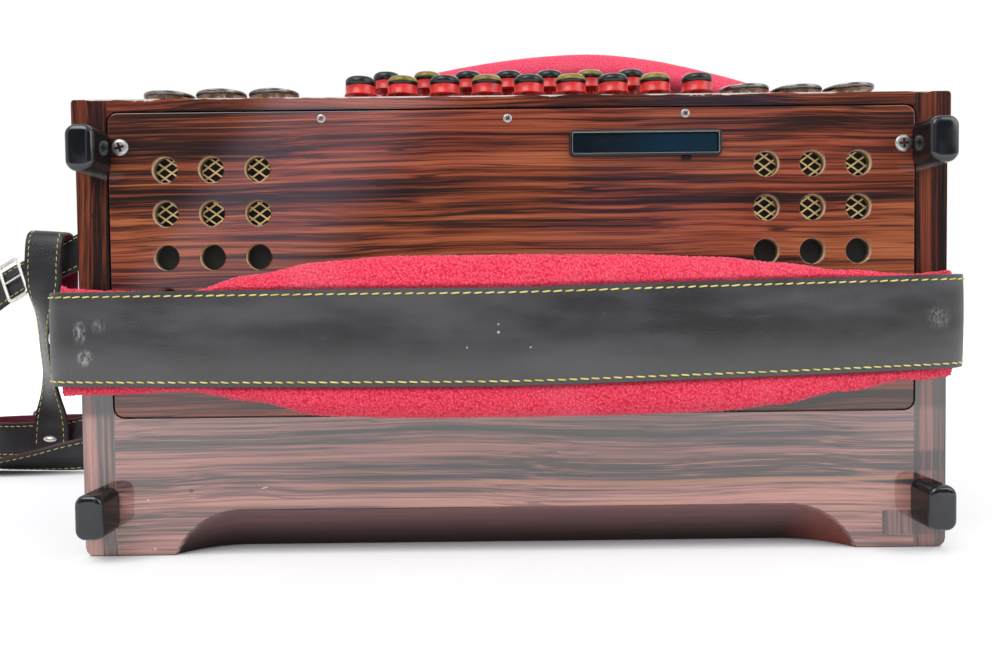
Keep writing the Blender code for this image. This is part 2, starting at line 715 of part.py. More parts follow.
def make_bass_end_cover():
    outline = rounded_rectangle(COVER_HALF_WIDTH, COVER_HALF_HEIGHT, COVER_CORNER_RADIUS)
    cover = part(
        "bass_end_cover",
        prism(on_end_plane(outline, 0.0, COVER_MIDDLE_Z, END_Y), (0, COVER_THICKNESS, 0)),
        "rosewood",
    )
    holes = bmesh.new()
    for x, z in hole_places():
        add_rod(holes, (x, END_Y - WALL, z), (x, END_Y + WALL, z), HOLE_RADIUS, 12)
    half = AIR_FRAME_WIDTH / 2 - AIR_FRAME_RIM
    up = AIR_FRAME_HEIGHT / 2 - AIR_FRAME_RIM
    slot = block(
        (AIR_KEY_X - half, END_Y - WALL, AIR_KEY_Z - up), (AIR_KEY_X + half, END_Y + WALL, AIR_KEY_Z + up)
    )
    cut(cover, cutter("sound_holes", holes), cutter("air_key_slot", slot))


def make_sound_hole_meshes():
    back = END_Y + COVER_THICKNESS + SEAT_GAP
    reach = HOLE_RADIUS + MESH_MARGIN
    near = HOLE_FIRST_X - reach
    far = HOLE_FIRST_X + (HOLE_COLUMNS - 1) * HOLE_PITCH_X + reach
    low = HOLE_TOP_Z - (MESH_ROWS - 1) * HOLE_PITCH_Z - reach
    high = HOLE_TOP_Z + reach
    for name, side in (("left", -1), ("right", 1)):
        x0, x1 = sorted((side * near, side * far))
        part(f"bass_mesh_{name}", block((x0, back, low), (x1, back + MESH_THICKNESS, high)), "gold_mesh")


def make_feet():
    outline = rounded_rectangle(FOOT_WIDTH / 2, FOOT_HEIGHT / 2, FOOT_CORNER_RADIUS, 3)
    outer = END_Y - SEAT_GAP - FOOT_LENGTH
    number = 0
    for z in (BODY_HEIGHT - FOOT_FROM_FRONT, FOOT_FROM_BACK):
        for side in (-1, 1):
            number += 1
            x = side * (HALF_WIDTH - FOOT_FROM_SIDE)
            form = prism(on_end_plane(outline, x, z, outer), (0, FOOT_LENGTH, 0))
            rim = [e for e in form.edges if all(abs(v.co.y - outer) < 1e-6 for v in e.verts)]
            bmesh.ops.bevel(form, geom=rim, offset=FOOT_EDGE_RADIUS, segments=2, profile=0.5, affect="EDGES")
            shade_smooth(part(f"bass_foot_{number}", form, "black_gloss"))


def make_air_key():
    outer = rounded_rectangle(AIR_FRAME_WIDTH / 2, AIR_FRAME_HEIGHT / 2, AIR_FRAME_RADIUS, 3)
    proud = END_Y - SEAT_GAP - AIR_FRAME_PROUD
    frame = part(
        "air_key_frame",
        prism(on_end_plane(outer, AIR_KEY_X, AIR_KEY_Z, proud), (0, AIR_FRAME_PROUD, 0)),
        "black_gloss",
    )
    half = AIR_FRAME_WIDTH / 2 - AIR_FRAME_RIM
    up = AIR_FRAME_HEIGHT / 2 - AIR_FRAME_RIM
    window = block(
        (AIR_KEY_X - half, proud - WALL, AIR_KEY_Z - up), (AIR_KEY_X + half, END_Y + WALL, AIR_KEY_Z + up)
    )
    cut(frame, cutter("air_key_window", window))
    face = proud + AIR_KEY_RECESS
    key = part(
        "air_key",
        block(
            (AIR_KEY_X - half + RUN_GAP, face, AIR_KEY_Z - up + RUN_GAP),
            (AIR_KEY_X + half - RUN_GAP, face + AIR_KEY_THICKNESS, AIR_KEY_Z + up - RUN_GAP),
        ),
        "black_gloss",
        (AIR_KEY_X, face, AIR_KEY_Z),
    )
    rod = bmesh.new()
    add_rod(
        rod,
        (AIR_KEY_X, face + AIR_KEY_THICKNESS / 2, AIR_KEY_Z),
        (AIR_KEY_X, AIR_VALVE_Y - SEAT_GAP, AIR_KEY_Z),
        AIR_ROD_RADIUS,
        10,
    )
    join(key, cutter("air_key_rod", rod))
    half = AIR_HOLE_WIDTH / 2 + AIR_VALVE_LAP
    up = AIR_HOLE_HEIGHT / 2 + AIR_VALVE_LAP
    part(
        "air_valve",
        block(
            (AIR_KEY_X - half, AIR_VALVE_Y, AIR_KEY_Z - up),
            (AIR_KEY_X + half, AIR_VALVE_Y + AIR_VALVE_THICKNESS, AIR_KEY_Z + up),
        ),
        "felt",
        (AIR_KEY_X, AIR_VALVE_Y, AIR_KEY_Z),
    )


def make_bass_buttons():
    for name, x, y, radius, rise in button_places():
        top = rise + BUTTON_CAP_HEIGHT
        under = -WALL - SEAT_GAP
        profile = (
            (0.0, top),
            (radius - 2 * BUTTON_EDGE, top - BUTTON_CROWN / 2),
            (radius, top - BUTTON_CROWN - BUTTON_EDGE),
            (radius, rise),
            (BUTTON_STEM_RADIUS, rise),
            (BUTTON_STEM_RADIUS, under),
            (BUTTON_COLLAR_RADIUS, under),
            (BUTTON_COLLAR_RADIUS, under - BUTTON_COLLAR_LENGTH),
            (0.0, under - BUTTON_COLLAR_LENGTH),
        )
        button = turned(name, profile, BUTTON_SIDES, "red_plastic", (x, y, BODY_HEIGHT))
        shade_smooth(button)


def make_bells():
    profile = (
        (0.0, BELL_HEIGHT * 0.58),
        (BELL_RADIUS * 0.72, BELL_HEIGHT * 0.82),
        (BELL_RADIUS * 0.95, BELL_HEIGHT),
        (BELL_RADIUS, BELL_HEIGHT * 0.84),
        (BELL_RADIUS * 0.95, BELL_HEIGHT * 0.56),
        (BELL_RADIUS * 0.55, BELL_HEIGHT * 0.46),
        (BELL_NECK_RADIUS, BELL_HEIGHT * 0.32),
        (BELL_FOOT_RADIUS, BELL_FOOT_HEIGHT),
        (BELL_FOOT_RADIUS, 0.0),
        (0.0, 0.0),
    )
    row_reach = (FRONT_ROW_COUNT - 1) / 2 * BUTTON_PITCH + FRONT_BUTTON_RADIUS + BELL_RADIUS
    starts = (
        (-1, row_reach - FRONT_ROW_X + BELLS_OFF_BUTTONS_LEFT),
        (1, row_reach + FRONT_ROW_X + BELLS_OFF_BUTTONS_RIGHT),
    )
    places = [side * (first + k * BELL_PITCH) for side, first in starts for k in range(3)]
    for number, (x, tilt) in enumerate(zip(sorted(places), BELL_TILTS_DEG), 1):
        lift = SEAT_GAP + (BELL_LIFT if tilt else 0.0)
        bell = turned(
            f"bass_bell_{number}",
            profile,
            BELL_SIDES,
            "nickel",
            (x, END_Y + BELL_IN, BODY_HEIGHT + lift),
            (0.0, -math.radians(tilt), 0.0),
        )
        shade_smooth(bell)


def strap_centre_line():
    """(x, y) of the hand strap's middle, from its left tail round the front to its right tail."""
    half = STRAP_THICKNESS / 2
    ends = {-1: HALF_WIDTH + STRAP_LEFT_OVERHANG - half, 1: HALF_WIDTH + STRAP_RIGHT_OVERHANG - half}

    def side(sign):
        x = ends[sign]
        tail = [(sign * x, END_Y + STRAP_TAIL), (sign * x, END_Y + STRAP_TAIL / 3), (sign * x, END_Y - STRAP_BEND_START)]
        return tail + [(sign * (x - inward), END_Y - out) for inward, out in STRAP_STAND_OFFS]

    return side(-1) + [(0.0, END_Y - STRAP_MIDDLE_STAND_OFF)] + side(1)[::-1]


def strap_frame_rows(width):
    """Rows of place, outward direction and width for the hand strap."""
    line = strap_centre_line()
    last = len(line) - 1
    rows = []
    for i, (x, y) in enumerate(line):
        along = Vector((line[min(i + 1, last)][0] - line[max(i - 1, 0)][0], line[min(i + 1, last)][1] - line[max(i - 1, 0)][1], 0))
        outward = Vector((0, 0, -1)).cross(along).normalized() * -1
        z = STRAP_Z + STRAP_RISE * max(0.0, x / HALF_WIDTH)
        rows.append((x, y, z, -outward.x, -outward.y, 0.0, width))
    return rows


def make_hand_strap():
    samples = smooth(strap_frame_rows(STRAP_WIDTH), PER_SPAN + 1)
    frames = strap_frames(samples)
    strap = part("bass_strap", ribbon(frames, STRAP_THICKNESS), "leather")
    shade_smooth(strap)

    outer_x = HALF_WIDTH + STRAP_LEFT_OVERHANG
    knob_x = -(outer_x + 2 * SEAT_GAP)
    knob_y = END_Y + STRAP_TAIL / 10
    shaft_hole = bmesh.new()
    anchor_hole = bmesh.new()
    for form, reach in ((shaft_hole, 0.02), (anchor_hole, 0.02)):
        add_rod(
            form,
            (knob_x - reach / 4, knob_y, STRAP_Z),
            (knob_x + ADJUSTER_SHAFT_LENGTH + SEAT_GAP, knob_y, STRAP_Z),
            ADJUSTER_SHAFT_RADIUS + RUN_GAP,
            12,
        )
    cut(strap, cutter("strap_shaft_hole", shaft_hole))

    anchor_outer = outer_x - STRAP_THICKNESS - SEAT_GAP
    anchor = part(
        "bass_strap_anchor",
        block(
            (-anchor_outer, END_Y - ANCHOR_OUT, STRAP_Z - ANCHOR_HEIGHT / 2),
            (-HALF_WIDTH - SEAT_GAP, END_Y - ANCHOR_OUT + ANCHOR_LENGTH, STRAP_Z + ANCHOR_HEIGHT / 2),
        ),
        "nickel",
    )
    cut(anchor, cutter("anchor_shaft_hole", anchor_hole))
    profile = (
        (0.0, ADJUSTER_HEAD),
        (ADJUSTER_HEAD_RADIUS * 0.8, ADJUSTER_HEAD),
        (ADJUSTER_HEAD_RADIUS, ADJUSTER_HEAD / 2),
        (ADJUSTER_HEAD_RADIUS, 0.0),
        (ADJUSTER_SHAFT_RADIUS, 0.0),
        (ADJUSTER_SHAFT_RADIUS, -ADJUSTER_SHAFT_LENGTH),
        (0.0, -ADJUSTER_SHAFT_LENGTH),
    )
    knob = turned(
        "bass_strap_adjuster", profile, 12, "nickel", (knob_x, knob_y, STRAP_Z), (0.0, -math.pi / 2, 0.0)
    )
    shade_smooth(knob)


def make_hand_strap_pad():
    """The pad follows the strap's inner face, and widens and thickens towards the middle."""
    line = smooth([(x, y, 0.0) for x, y in strap_centre_line()], 8)
    front = [p for p in line if p[1] < END_Y - PAD_END_OUT]
    half_run = max(abs(p[0]) for p in front)
    rings = []
    for i, (x, y, _) in enumerate(front):
        if i % 3 and 0 < i < len(front) - 1:
            continue
        share = x / half_run
        low, high, thick = pad_section(share)
        near, far = front[max(i - 1, 0)], front[min(i + 1, len(front) - 1)]
        along = Vector((far[0] - near[0], far[1] - near[1], 0.0)).normalized()
        inward = Vector((-along.y, along.x, 0.0))
        top = Vector((x, y, 0.0)) + inward * (STRAP_THICKNESS / 2 + SEAT_GAP)
        soft = thick * 0.35
        section = (
            (0.0, low + soft), (0.0, high - soft), (soft, high), (thick - soft, high),
            (thick, high - 2 * soft), (thick, low + 2 * soft), (thick - soft, low), (soft, low),
        )
        rings.append([top + inward * d + Vector((0, 0, z)) for d, z in section])
    shade_smooth(part("bass_strap_pad", loft(rings), "red_boucle"), 60)


def pad_section(share):
    """(low, high, thickness) of the hand strap's pad, read between the sections given above."""
    for a, b in zip(PAD_SECTIONS, PAD_SECTIONS[1:]):
        if share <= b[0]:
            t = max(0.0, min(1.0, (share - a[0]) / (b[0] - a[0])))
            t = t * t * (3 - 2 * t)
            return [p + (q - p) * t for p, q in zip(a[1:], b[1:])]
    return PAD_SECTIONS[-1][1:]


def comb(length, depth, blocks, low, back_y, direction):
    """Reed blocks side by side on one base board, drawn out along X."""
    total = blocks * REED_BLOCK + (blocks - 1) * REED_BLOCK_GAP
    base_y = back_y + direction * REED_BASE
    tip_y = back_y + direction * depth
    outline = [(back_y, low + total), (back_y, low)]
    for k in range(blocks):
        z0 = low + k * (REED_BLOCK + REED_BLOCK_GAP)
        outline += [(tip_y, z0), (tip_y, z0 + REED_BLOCK)]
        if k < blocks - 1:
            outline += [(base_y, z0 + REED_BLOCK), (base_y, z0 + REED_BLOCK + REED_BLOCK_GAP)]
    return prism([(-length / 2, y, z) for y, z in outline], (length, 0, 0))


def make_reed_blocks():
    part(
        "bass_reed_block",
        comb(BASS_REED_LENGTH, BASS_REED_DEPTH, BASS_REED_BLOCKS, BASS_REED_LOW, AIR_VALVE_Y, 1),
        "bare_wood",
    )
    board = TREBLE_OUTER_Y - FOUNDATION_BOARD - SEAT_GAP
    part(
        "treble_reed_block",
        comb(TREBLE_REED_LENGTH, TREBLE_REED_DEPTH, TREBLE_REED_BLOCKS, TREBLE_REED_LOW, board, -1),
        "bare_wood",
    )


# Bellows

def make_bellows_frames():
    half = HALF_WIDTH - BELLOWS_FRAME_INSET
    low, high = BELLOWS_FRAME_INSET, BODY_HEIGHT - BELLOWS_FRAME_INSET
    rail = BELLOWS_FRAME_RAIL
    for name, y in (
        ("bass", BASS_INNER_Y + SEAT_GAP),
        ("treble", TREBLE_INNER_Y - SEAT_GAP - BELLOWS_FRAME),
    ):
        frame = part(
            f"bellows_frame_{name}", block((-half, y, low), (half, y + BELLOWS_FRAME, high)), "rosewood"
        )
        window = block(
            (-half + rail, y - WALL, low + rail), (half - rail, y + BELLOWS_FRAME + WALL, high - rail)
        )
        cut(frame, cutter(f"bellows_window_{name}", window))


def bellows_ring(inset, y):
    wide = HALF_WIDTH - BELLOWS_INSET - inset
    tall = BODY_HEIGHT / 2 - BELLOWS_INSET - inset
    c = BELLOWS_CORNER
    quarter = ((wide, tall - c), (wide - c, tall), (-wide + c, tall), (-wide, tall - c))
    outline = list(quarter) + [(-x, -z) for x, z in quarter]
    return [(x, y, BODY_HEIGHT / 2 + z) for x, z in outline]


def make_bellows():
    start = BASS_INNER_Y + 2 * SEAT_GAP + BELLOWS_FRAME
    end = TREBLE_INNER_Y - 2 * SEAT_GAP - BELLOWS_FRAME
    turns = 2 * BELLOWS_FOLDS
    outside = []
    for i in range(turns + 1):
        inset = 0.0 if i % 2 else BELLOWS_FOLD_DEPTH
        outside.append((inset, start + (end - start) * i / turns))
    inside = [(inset + BELLOWS_WALL, y) for inset, y in reversed(outside)]
    rings = [bellows_ring(inset, y) for inset, y in outside + inside]
    part("bellows", loft(rings, closed=True), "bellows_cloth")


def make_bellows_straps():
    """Each turns on a pin at its bass end, and its free end lies on the treble casing."""
    half = BELLOWS_STRAP_THICKNESS / 2
    pin_y = BASS_INNER_Y - BELLOWS_STRAP_ON_BASS
    tip_y = TREBLE_INNER_Y + BELLOWS_STRAP_ON_TREBLE
    for name, side in (("bottom", -1), ("top", 1)):
        x = side * (HALF_WIDTH + STRAP_OFF_CASING + half)
        knuckle = arc((x, pin_y), half, 180, 360, 4)
        tip = arc((x, tip_y), half, 0, 180, 3)
        outline = [(u, v, BELLOWS_STRAP_Z - BELLOWS_STRAP_WIDTH / 2) for u, v in knuckle + tip]
        strap = part(
            f"bellows_strap_{name}",
            prism(outline, (0, 0, BELLOWS_STRAP_WIDTH)),
            "leather",
            (x, pin_y, BELLOWS_STRAP_Z),
        )
        shade_smooth(strap)


# Treble side

def make_treble_casing():
    body = part("treble_casing", prism(casing_outline(TREBLE_INNER_Y), (0, TREBLE_DEPTH, 0)), "rosewood")
    inside = HALF_WIDTH - WALL
    chamber = block(
        (-inside, TREBLE_INNER_Y - WALL, WALL),
        (inside, TREBLE_OUTER_Y - FOUNDATION_BOARD, BODY_HEIGHT - WALL),
    )
    cut(body, cutter("treble_chamber", chamber))


def key_rows():
    """(row number, y of the buttons, z of the step, x of each key)."""
    last = len(KEY_ROW_COUNTS)
    for k, (count, shift) in enumerate(zip(KEY_ROW_COUNTS, KEY_ROW_SHIFTS), 1):
        y = TREBLE_OUTER_Y + LAST_ROW_OUT + (last - k) * KEY_ROW_PITCH
        z = FIRST_STEP_Z + (k - 1) * KEY_STEP
        yield k, y, z, [(i - (count - 1) / 2 + shift) * KEY_PITCH for i in range(count)]


def make_fingerboard():
    rows = list(key_rows())
    inner = TREBLE_OUTER_Y + SEAT_GAP
    outer = rows[0][1] + FINGERBOARD_LIP
    bottom = FIRST_STEP_Z - FINGERBOARD_FLOOR
    outline = [(inner, bottom), (outer, bottom), (outer, FIRST_STEP_Z)]
    for _, y, z, _ in rows:
        edge = y - KEY_ROW_PITCH / 2
        outline += [(edge, z), (edge, z + KEY_STEP)]
    shelf = rows[-1][2] + KEY_STEP
    outline.append((inner, shelf))
    half = FINGERBOARD_HALF_LENGTH
    board = part("fingerboard", prism([(-half, y, z) for y, z in outline], (2 * half, 0, 0)), "rosewood")
    slots = bmesh.new()
    bores = bmesh.new()
    for _, y, z, places in rows:
        for x in places:
            add_block(
                slots,
                (x - KEY_SLOT_WIDTH / 2, y - KEY_LEVER - KEY_SLOT_PAST_AXLE, z - KEY_SLOT_DEPTH),
                (x + KEY_SLOT_WIDTH / 2, y + KEY_SLOT_PAST_BUTTON, z + RUN_GAP),
            )
        axle = (y - KEY_LEVER, z - KEY_AXLE_DROP)
        run = KEY_AXLE_OVERRUN + SEAT_GAP
        add_rod(bores, (places[0] - run, *axle), (places[-1] + run, *axle), KEY_AXLE_BORE, KEY_AXLE_SIDES)
    cut(board, cutter("key_slots", slots), cutter("key_axle_bores", bores))


def make_key_rows():
    for k, y, z, places in key_rows():
        axle_y, axle_z = y - KEY_LEVER, z - KEY_AXLE_DROP
        rod = bmesh.new()
        ends = places[0] - KEY_AXLE_OVERRUN, places[-1] + KEY_AXLE_OVERRUN
        add_rod(rod, (ends[0], axle_y, axle_z), (ends[1], axle_y, axle_z), KEY_AXLE_RADIUS, KEY_AXLE_SIDES)
        row = part(f"treble_keys_row_{k}", rod, "pearl", (0.0, axle_y, axle_z))
        levers = bmesh.new()
        buttons = bmesh.new()
        tip = KEY_LEVER + KEY_TIP_PAST_BUTTON
        rise = z + KEY_BUTTON_RISE
        post = rise + KEY_BUTTON_HEIGHT / 2 - axle_z
        side = (
            (-KEY_HUB, -KEY_HUB), (KEY_HUB, -KEY_HUB), (KEY_LEVER - KEY_HUB, KEY_TIP_LOW),
            (tip, KEY_TIP_LOW), (tip, KEY_TIP_HIGH), (KEY_LEVER + KEY_STEM_RADIUS, KEY_TIP_HIGH),
            (KEY_LEVER + KEY_STEM_RADIUS, post), (KEY_LEVER - KEY_STEM_RADIUS, post),
            (KEY_LEVER - KEY_STEM_RADIUS, KEY_TIP_HIGH), (-KEY_HUB, KEY_HUB),
        )
        profile = (
            (0.0, rise + KEY_BUTTON_HEIGHT),
            (KEY_BUTTON_RADIUS, rise + KEY_BUTTON_HEIGHT),
            (KEY_BUTTON_RADIUS, rise),
            (0.0, rise),
        )
        for x in places:
            outline = [(x - KEY_LEVER_WIDTH / 2, axle_y + u, axle_z + v) for u, v in side]
            add_prism(levers, outline, (KEY_LEVER_WIDTH, 0, 0))
            add_turned(buttons, profile, (x, y, 0.0), KEY_SIDES)
        join(row, cutter(f"key_levers_{k}", tidy(levers)), cutter(f"key_buttons_{k}", tidy(buttons)))


def make_treble_cover():
    """The lid stands on the casing's outer face over the keys' inner ends, with an arch of upright slots."""
    middle_z = (LID_LOW + LID_HIGH) / 2
    half_height = (LID_HIGH - LID_LOW) / 2
    seat = TREBLE_OUTER_Y + SEAT_GAP
    outer = rounded_rectangle(LID_HALF_LENGTH, half_height, LID_RADIUS)
    lid = part(
        "treble_cover", prism(on_end_plane(outer, 0.0, middle_z, seat), (0, LID_DEPTH, 0)), "rosewood"
    )
    inner = rounded_rectangle(LID_HALF_LENGTH - LID_WALL, half_height - LID_WALL, LID_RADIUS - LID_WALL)
    hollow = prism(on_end_plane(inner, 0.0, middle_z, seat - LID_WALL), (0, LID_DEPTH, 0))
    slots = bmesh.new()
    for i in range(LID_SLOTS):
        place = i - (LID_SLOTS - 1) / 2
        share = math.cos(math.pi / 2 * place / (LID_SLOTS / 2))
        half = (LID_SLOT_SHORT + (LID_SLOT_LONG - LID_SLOT_SHORT) * share) / 2 - LID_SLOT_HALF_WIDTH
        w = LID_SLOT_HALF_WIDTH
        outline = arc((0.0, half), w, 0, 180, 4) + arc((0.0, -half), w, 180, 360, 4)
        add_prism(
            slots,
            on_end_plane(outline, place * LID_SLOT_PITCH, middle_z, seat),
            (0, LID_DEPTH + LID_WALL, 0),
        )
    cut(lid, cutter("lid_hollow", hollow), cutter("lid_slots", slots))


# Shoulder straps

def route_rows(route):
    return [(*place, *Vector(out).normalized(), width) for place, out, width in route]


def make_shoulder_straps():
    plans = (
        ("1", STRAP_1_ROUTE, STRAP_1_PAD_RANGE, STRAP_1_BUCKLE_AT),
        ("2", STRAP_2_ROUTE, STRAP_2_PAD_RANGE, STRAP_2_BUCKLE_AT),
    )
    for number, route, pad_range, buckle_at in plans:
        frames = strap_frames(smooth(route_rows(route), PER_SPAN))
        strap = part(f"shoulder_strap_{number}", ribbon(frames, SHOULDER_THICKNESS), "leather")
        shade_smooth(strap, 60)
        first, last = (i * PER_SPAN for i in pad_range)
        make_shoulder_pad(f"shoulder_pad_{number}", frames[first:last + 1])
        make_buckle(f"strap_buckle_{number}", frames[buckle_at * PER_SPAN])


def make_shoulder_pad(name, frames):
    """A soft pad under the strap's wide stretch, thinned to a rounded end at each side."""
    rings = []
    last = len(frames) - 1
    for i, (middle, outward, sideways, width) in enumerate(frames):
        share = math.sin(math.pi * min(1.0, max(0.08, 0.5 * min(i, last - i) / 2 + 0.08)) / 2)
        share = min(1.0, share)
        thick = SHOULDER_PAD_THICKNESS * share
        top = middle - outward * (SHOULDER_THICKNESS / 2 + 2 * SEAT_GAP)
        half = width / 2 + SHOULDER_PAD_OVERHANG * share
        section = (
            (-half + thick * 0.3, 0.0), (half - thick * 0.3, 0.0), (half, thick * 0.3),
            (half - thick * 0.1, thick * 0.7), (half - thick * 0.7, thick),
            (-half + thick * 0.7, thick), (-half + thick * 0.1, thick * 0.7), (-half, thick * 0.3),
        )
        rings.append([top + sideways * u - outward * v for u, v in section])
    shade_smooth(part(name, split_evenly(loft(rings)), "red_boucle"), 60)


def make_buckle(name, frame):
    """A flat wire frame that lies on the strap's outer face."""
    middle, outward, sideways, width = frame
    along = outward.cross(sideways)
    lift = SHOULDER_THICKNESS / 2 + SEAT_GAP + 0.87 * BUCKLE_WIRE
    centre = middle + outward * lift
    half_across = width / 2 + BUCKLE_OVERHANG
    half_along = BUCKLE_LENGTH / 2
    corners = rounded_rectangle(half_across, half_along, BUCKLE_WIRE * 2, 2)
    rings = []
    for i, (u, v) in enumerate(corners):
        before, after = corners[i - 1], corners[(i + 1) % len(corners)]
        run = (sideways * (after[0] - before[0]) + along * (after[1] - before[1])).normalized()
        across = run.cross(outward)
        place = centre + sideways * u + along * v
        ring = [
            place + (across * math.cos(a) + outward * math.sin(a)) * BUCKLE_WIRE
            for a in (math.radians(60 * k) for k in range(6))
        ]
        rings.append(ring)
    shade_smooth(part(name, loft(rings, closed=True), "nickel"), 60)


def make_cross_strap():
    rows = [(*place, *Vector(out).normalized(), CROSS_STRAP_WIDTH) for place, out in CROSS_STRAP_ROUTE]
    strap = part("cross_strap", ribbon(strap_frames(smooth(rows, PER_SPAN)), SHOULDER_THICKNESS), "leather")
    shade_smooth(strap, 60)


def make_strap_brackets():
    """A bridge of strip metal on each end of the treble casing, over both straps' ends."""
    half, foot = BRACKET_HALF_LENGTH, BRACKET_FOOT
    base = HALF_WIDTH + SEAT_GAP
    t = BRACKET_THICKNESS
    up = base + BRACKET_BRIDGE
    for name, side in (("bottom", -1), ("top", 1)):
        strip = [
            (-half, base), (-half + foot, base), (-half + foot, up), (half - foot, up), (half - foot, base),
            (half, base), (half, base + t), (half - foot + t, base + t), (half - foot + t, up + t),
            (-half + foot - t, up + t), (-half + foot - t, base + t), (-half, base + t),
        ]
        outline = [(side * x, y, BRACKET_Z - BRACKET_HEIGHT / 2) for y, x in strip]
        part(f"strap_bracket_{name}", prism(outline, (0, 0, BRACKET_HEIGHT)), "nickel")


make_bass_casing()
make_bass_end_cover()
make_sound_hole_meshes()
make_feet()
make_air_key()
make_bass_buttons()
make_bells()
make_hand_strap()
make_hand_strap_pad()
make_reed_blocks()
make_bellows_frames()
make_bellows()
make_bellows_straps()
make_treble_casing()
make_fingerboard()
make_key_rows()
make_treble_cover()
make_shoulder_straps()
make_cross_strap()
make_strap_brackets()
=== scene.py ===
"""The looks of a diatonic button accordion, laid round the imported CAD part. Metres, in the CAD's frame."""

import math
import random

import bmesh
import bpy
from mathutils import Matrix, Vector, noise
from mathutils.kdtree import KDTree


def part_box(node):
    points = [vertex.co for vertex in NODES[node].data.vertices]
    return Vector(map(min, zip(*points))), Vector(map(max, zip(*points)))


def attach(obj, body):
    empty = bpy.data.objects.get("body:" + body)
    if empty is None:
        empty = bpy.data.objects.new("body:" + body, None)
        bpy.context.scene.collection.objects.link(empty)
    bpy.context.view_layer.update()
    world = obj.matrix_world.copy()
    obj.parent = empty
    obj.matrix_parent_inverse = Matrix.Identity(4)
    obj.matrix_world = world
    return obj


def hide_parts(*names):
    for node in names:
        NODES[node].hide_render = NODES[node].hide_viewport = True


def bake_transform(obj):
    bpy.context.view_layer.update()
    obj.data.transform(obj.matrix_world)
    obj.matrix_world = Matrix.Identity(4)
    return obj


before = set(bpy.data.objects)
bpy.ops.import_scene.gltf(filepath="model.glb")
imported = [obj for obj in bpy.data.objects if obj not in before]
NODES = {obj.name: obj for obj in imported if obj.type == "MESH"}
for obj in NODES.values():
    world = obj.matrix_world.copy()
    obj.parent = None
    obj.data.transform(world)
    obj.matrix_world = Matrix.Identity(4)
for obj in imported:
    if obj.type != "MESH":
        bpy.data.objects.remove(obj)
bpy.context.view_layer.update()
DICE = random.Random(7)

# Places that the looks share with the part
HALF_WIDTH = 0.195
HEIGHT = 0.205
END_Y = -0.2425
BASS_INNER_Y = -0.1375
TREBLE_INNER_Y = -0.0425
TREBLE_OUTER_Y = 0.0425
GAP = 0.0003


# Node trees

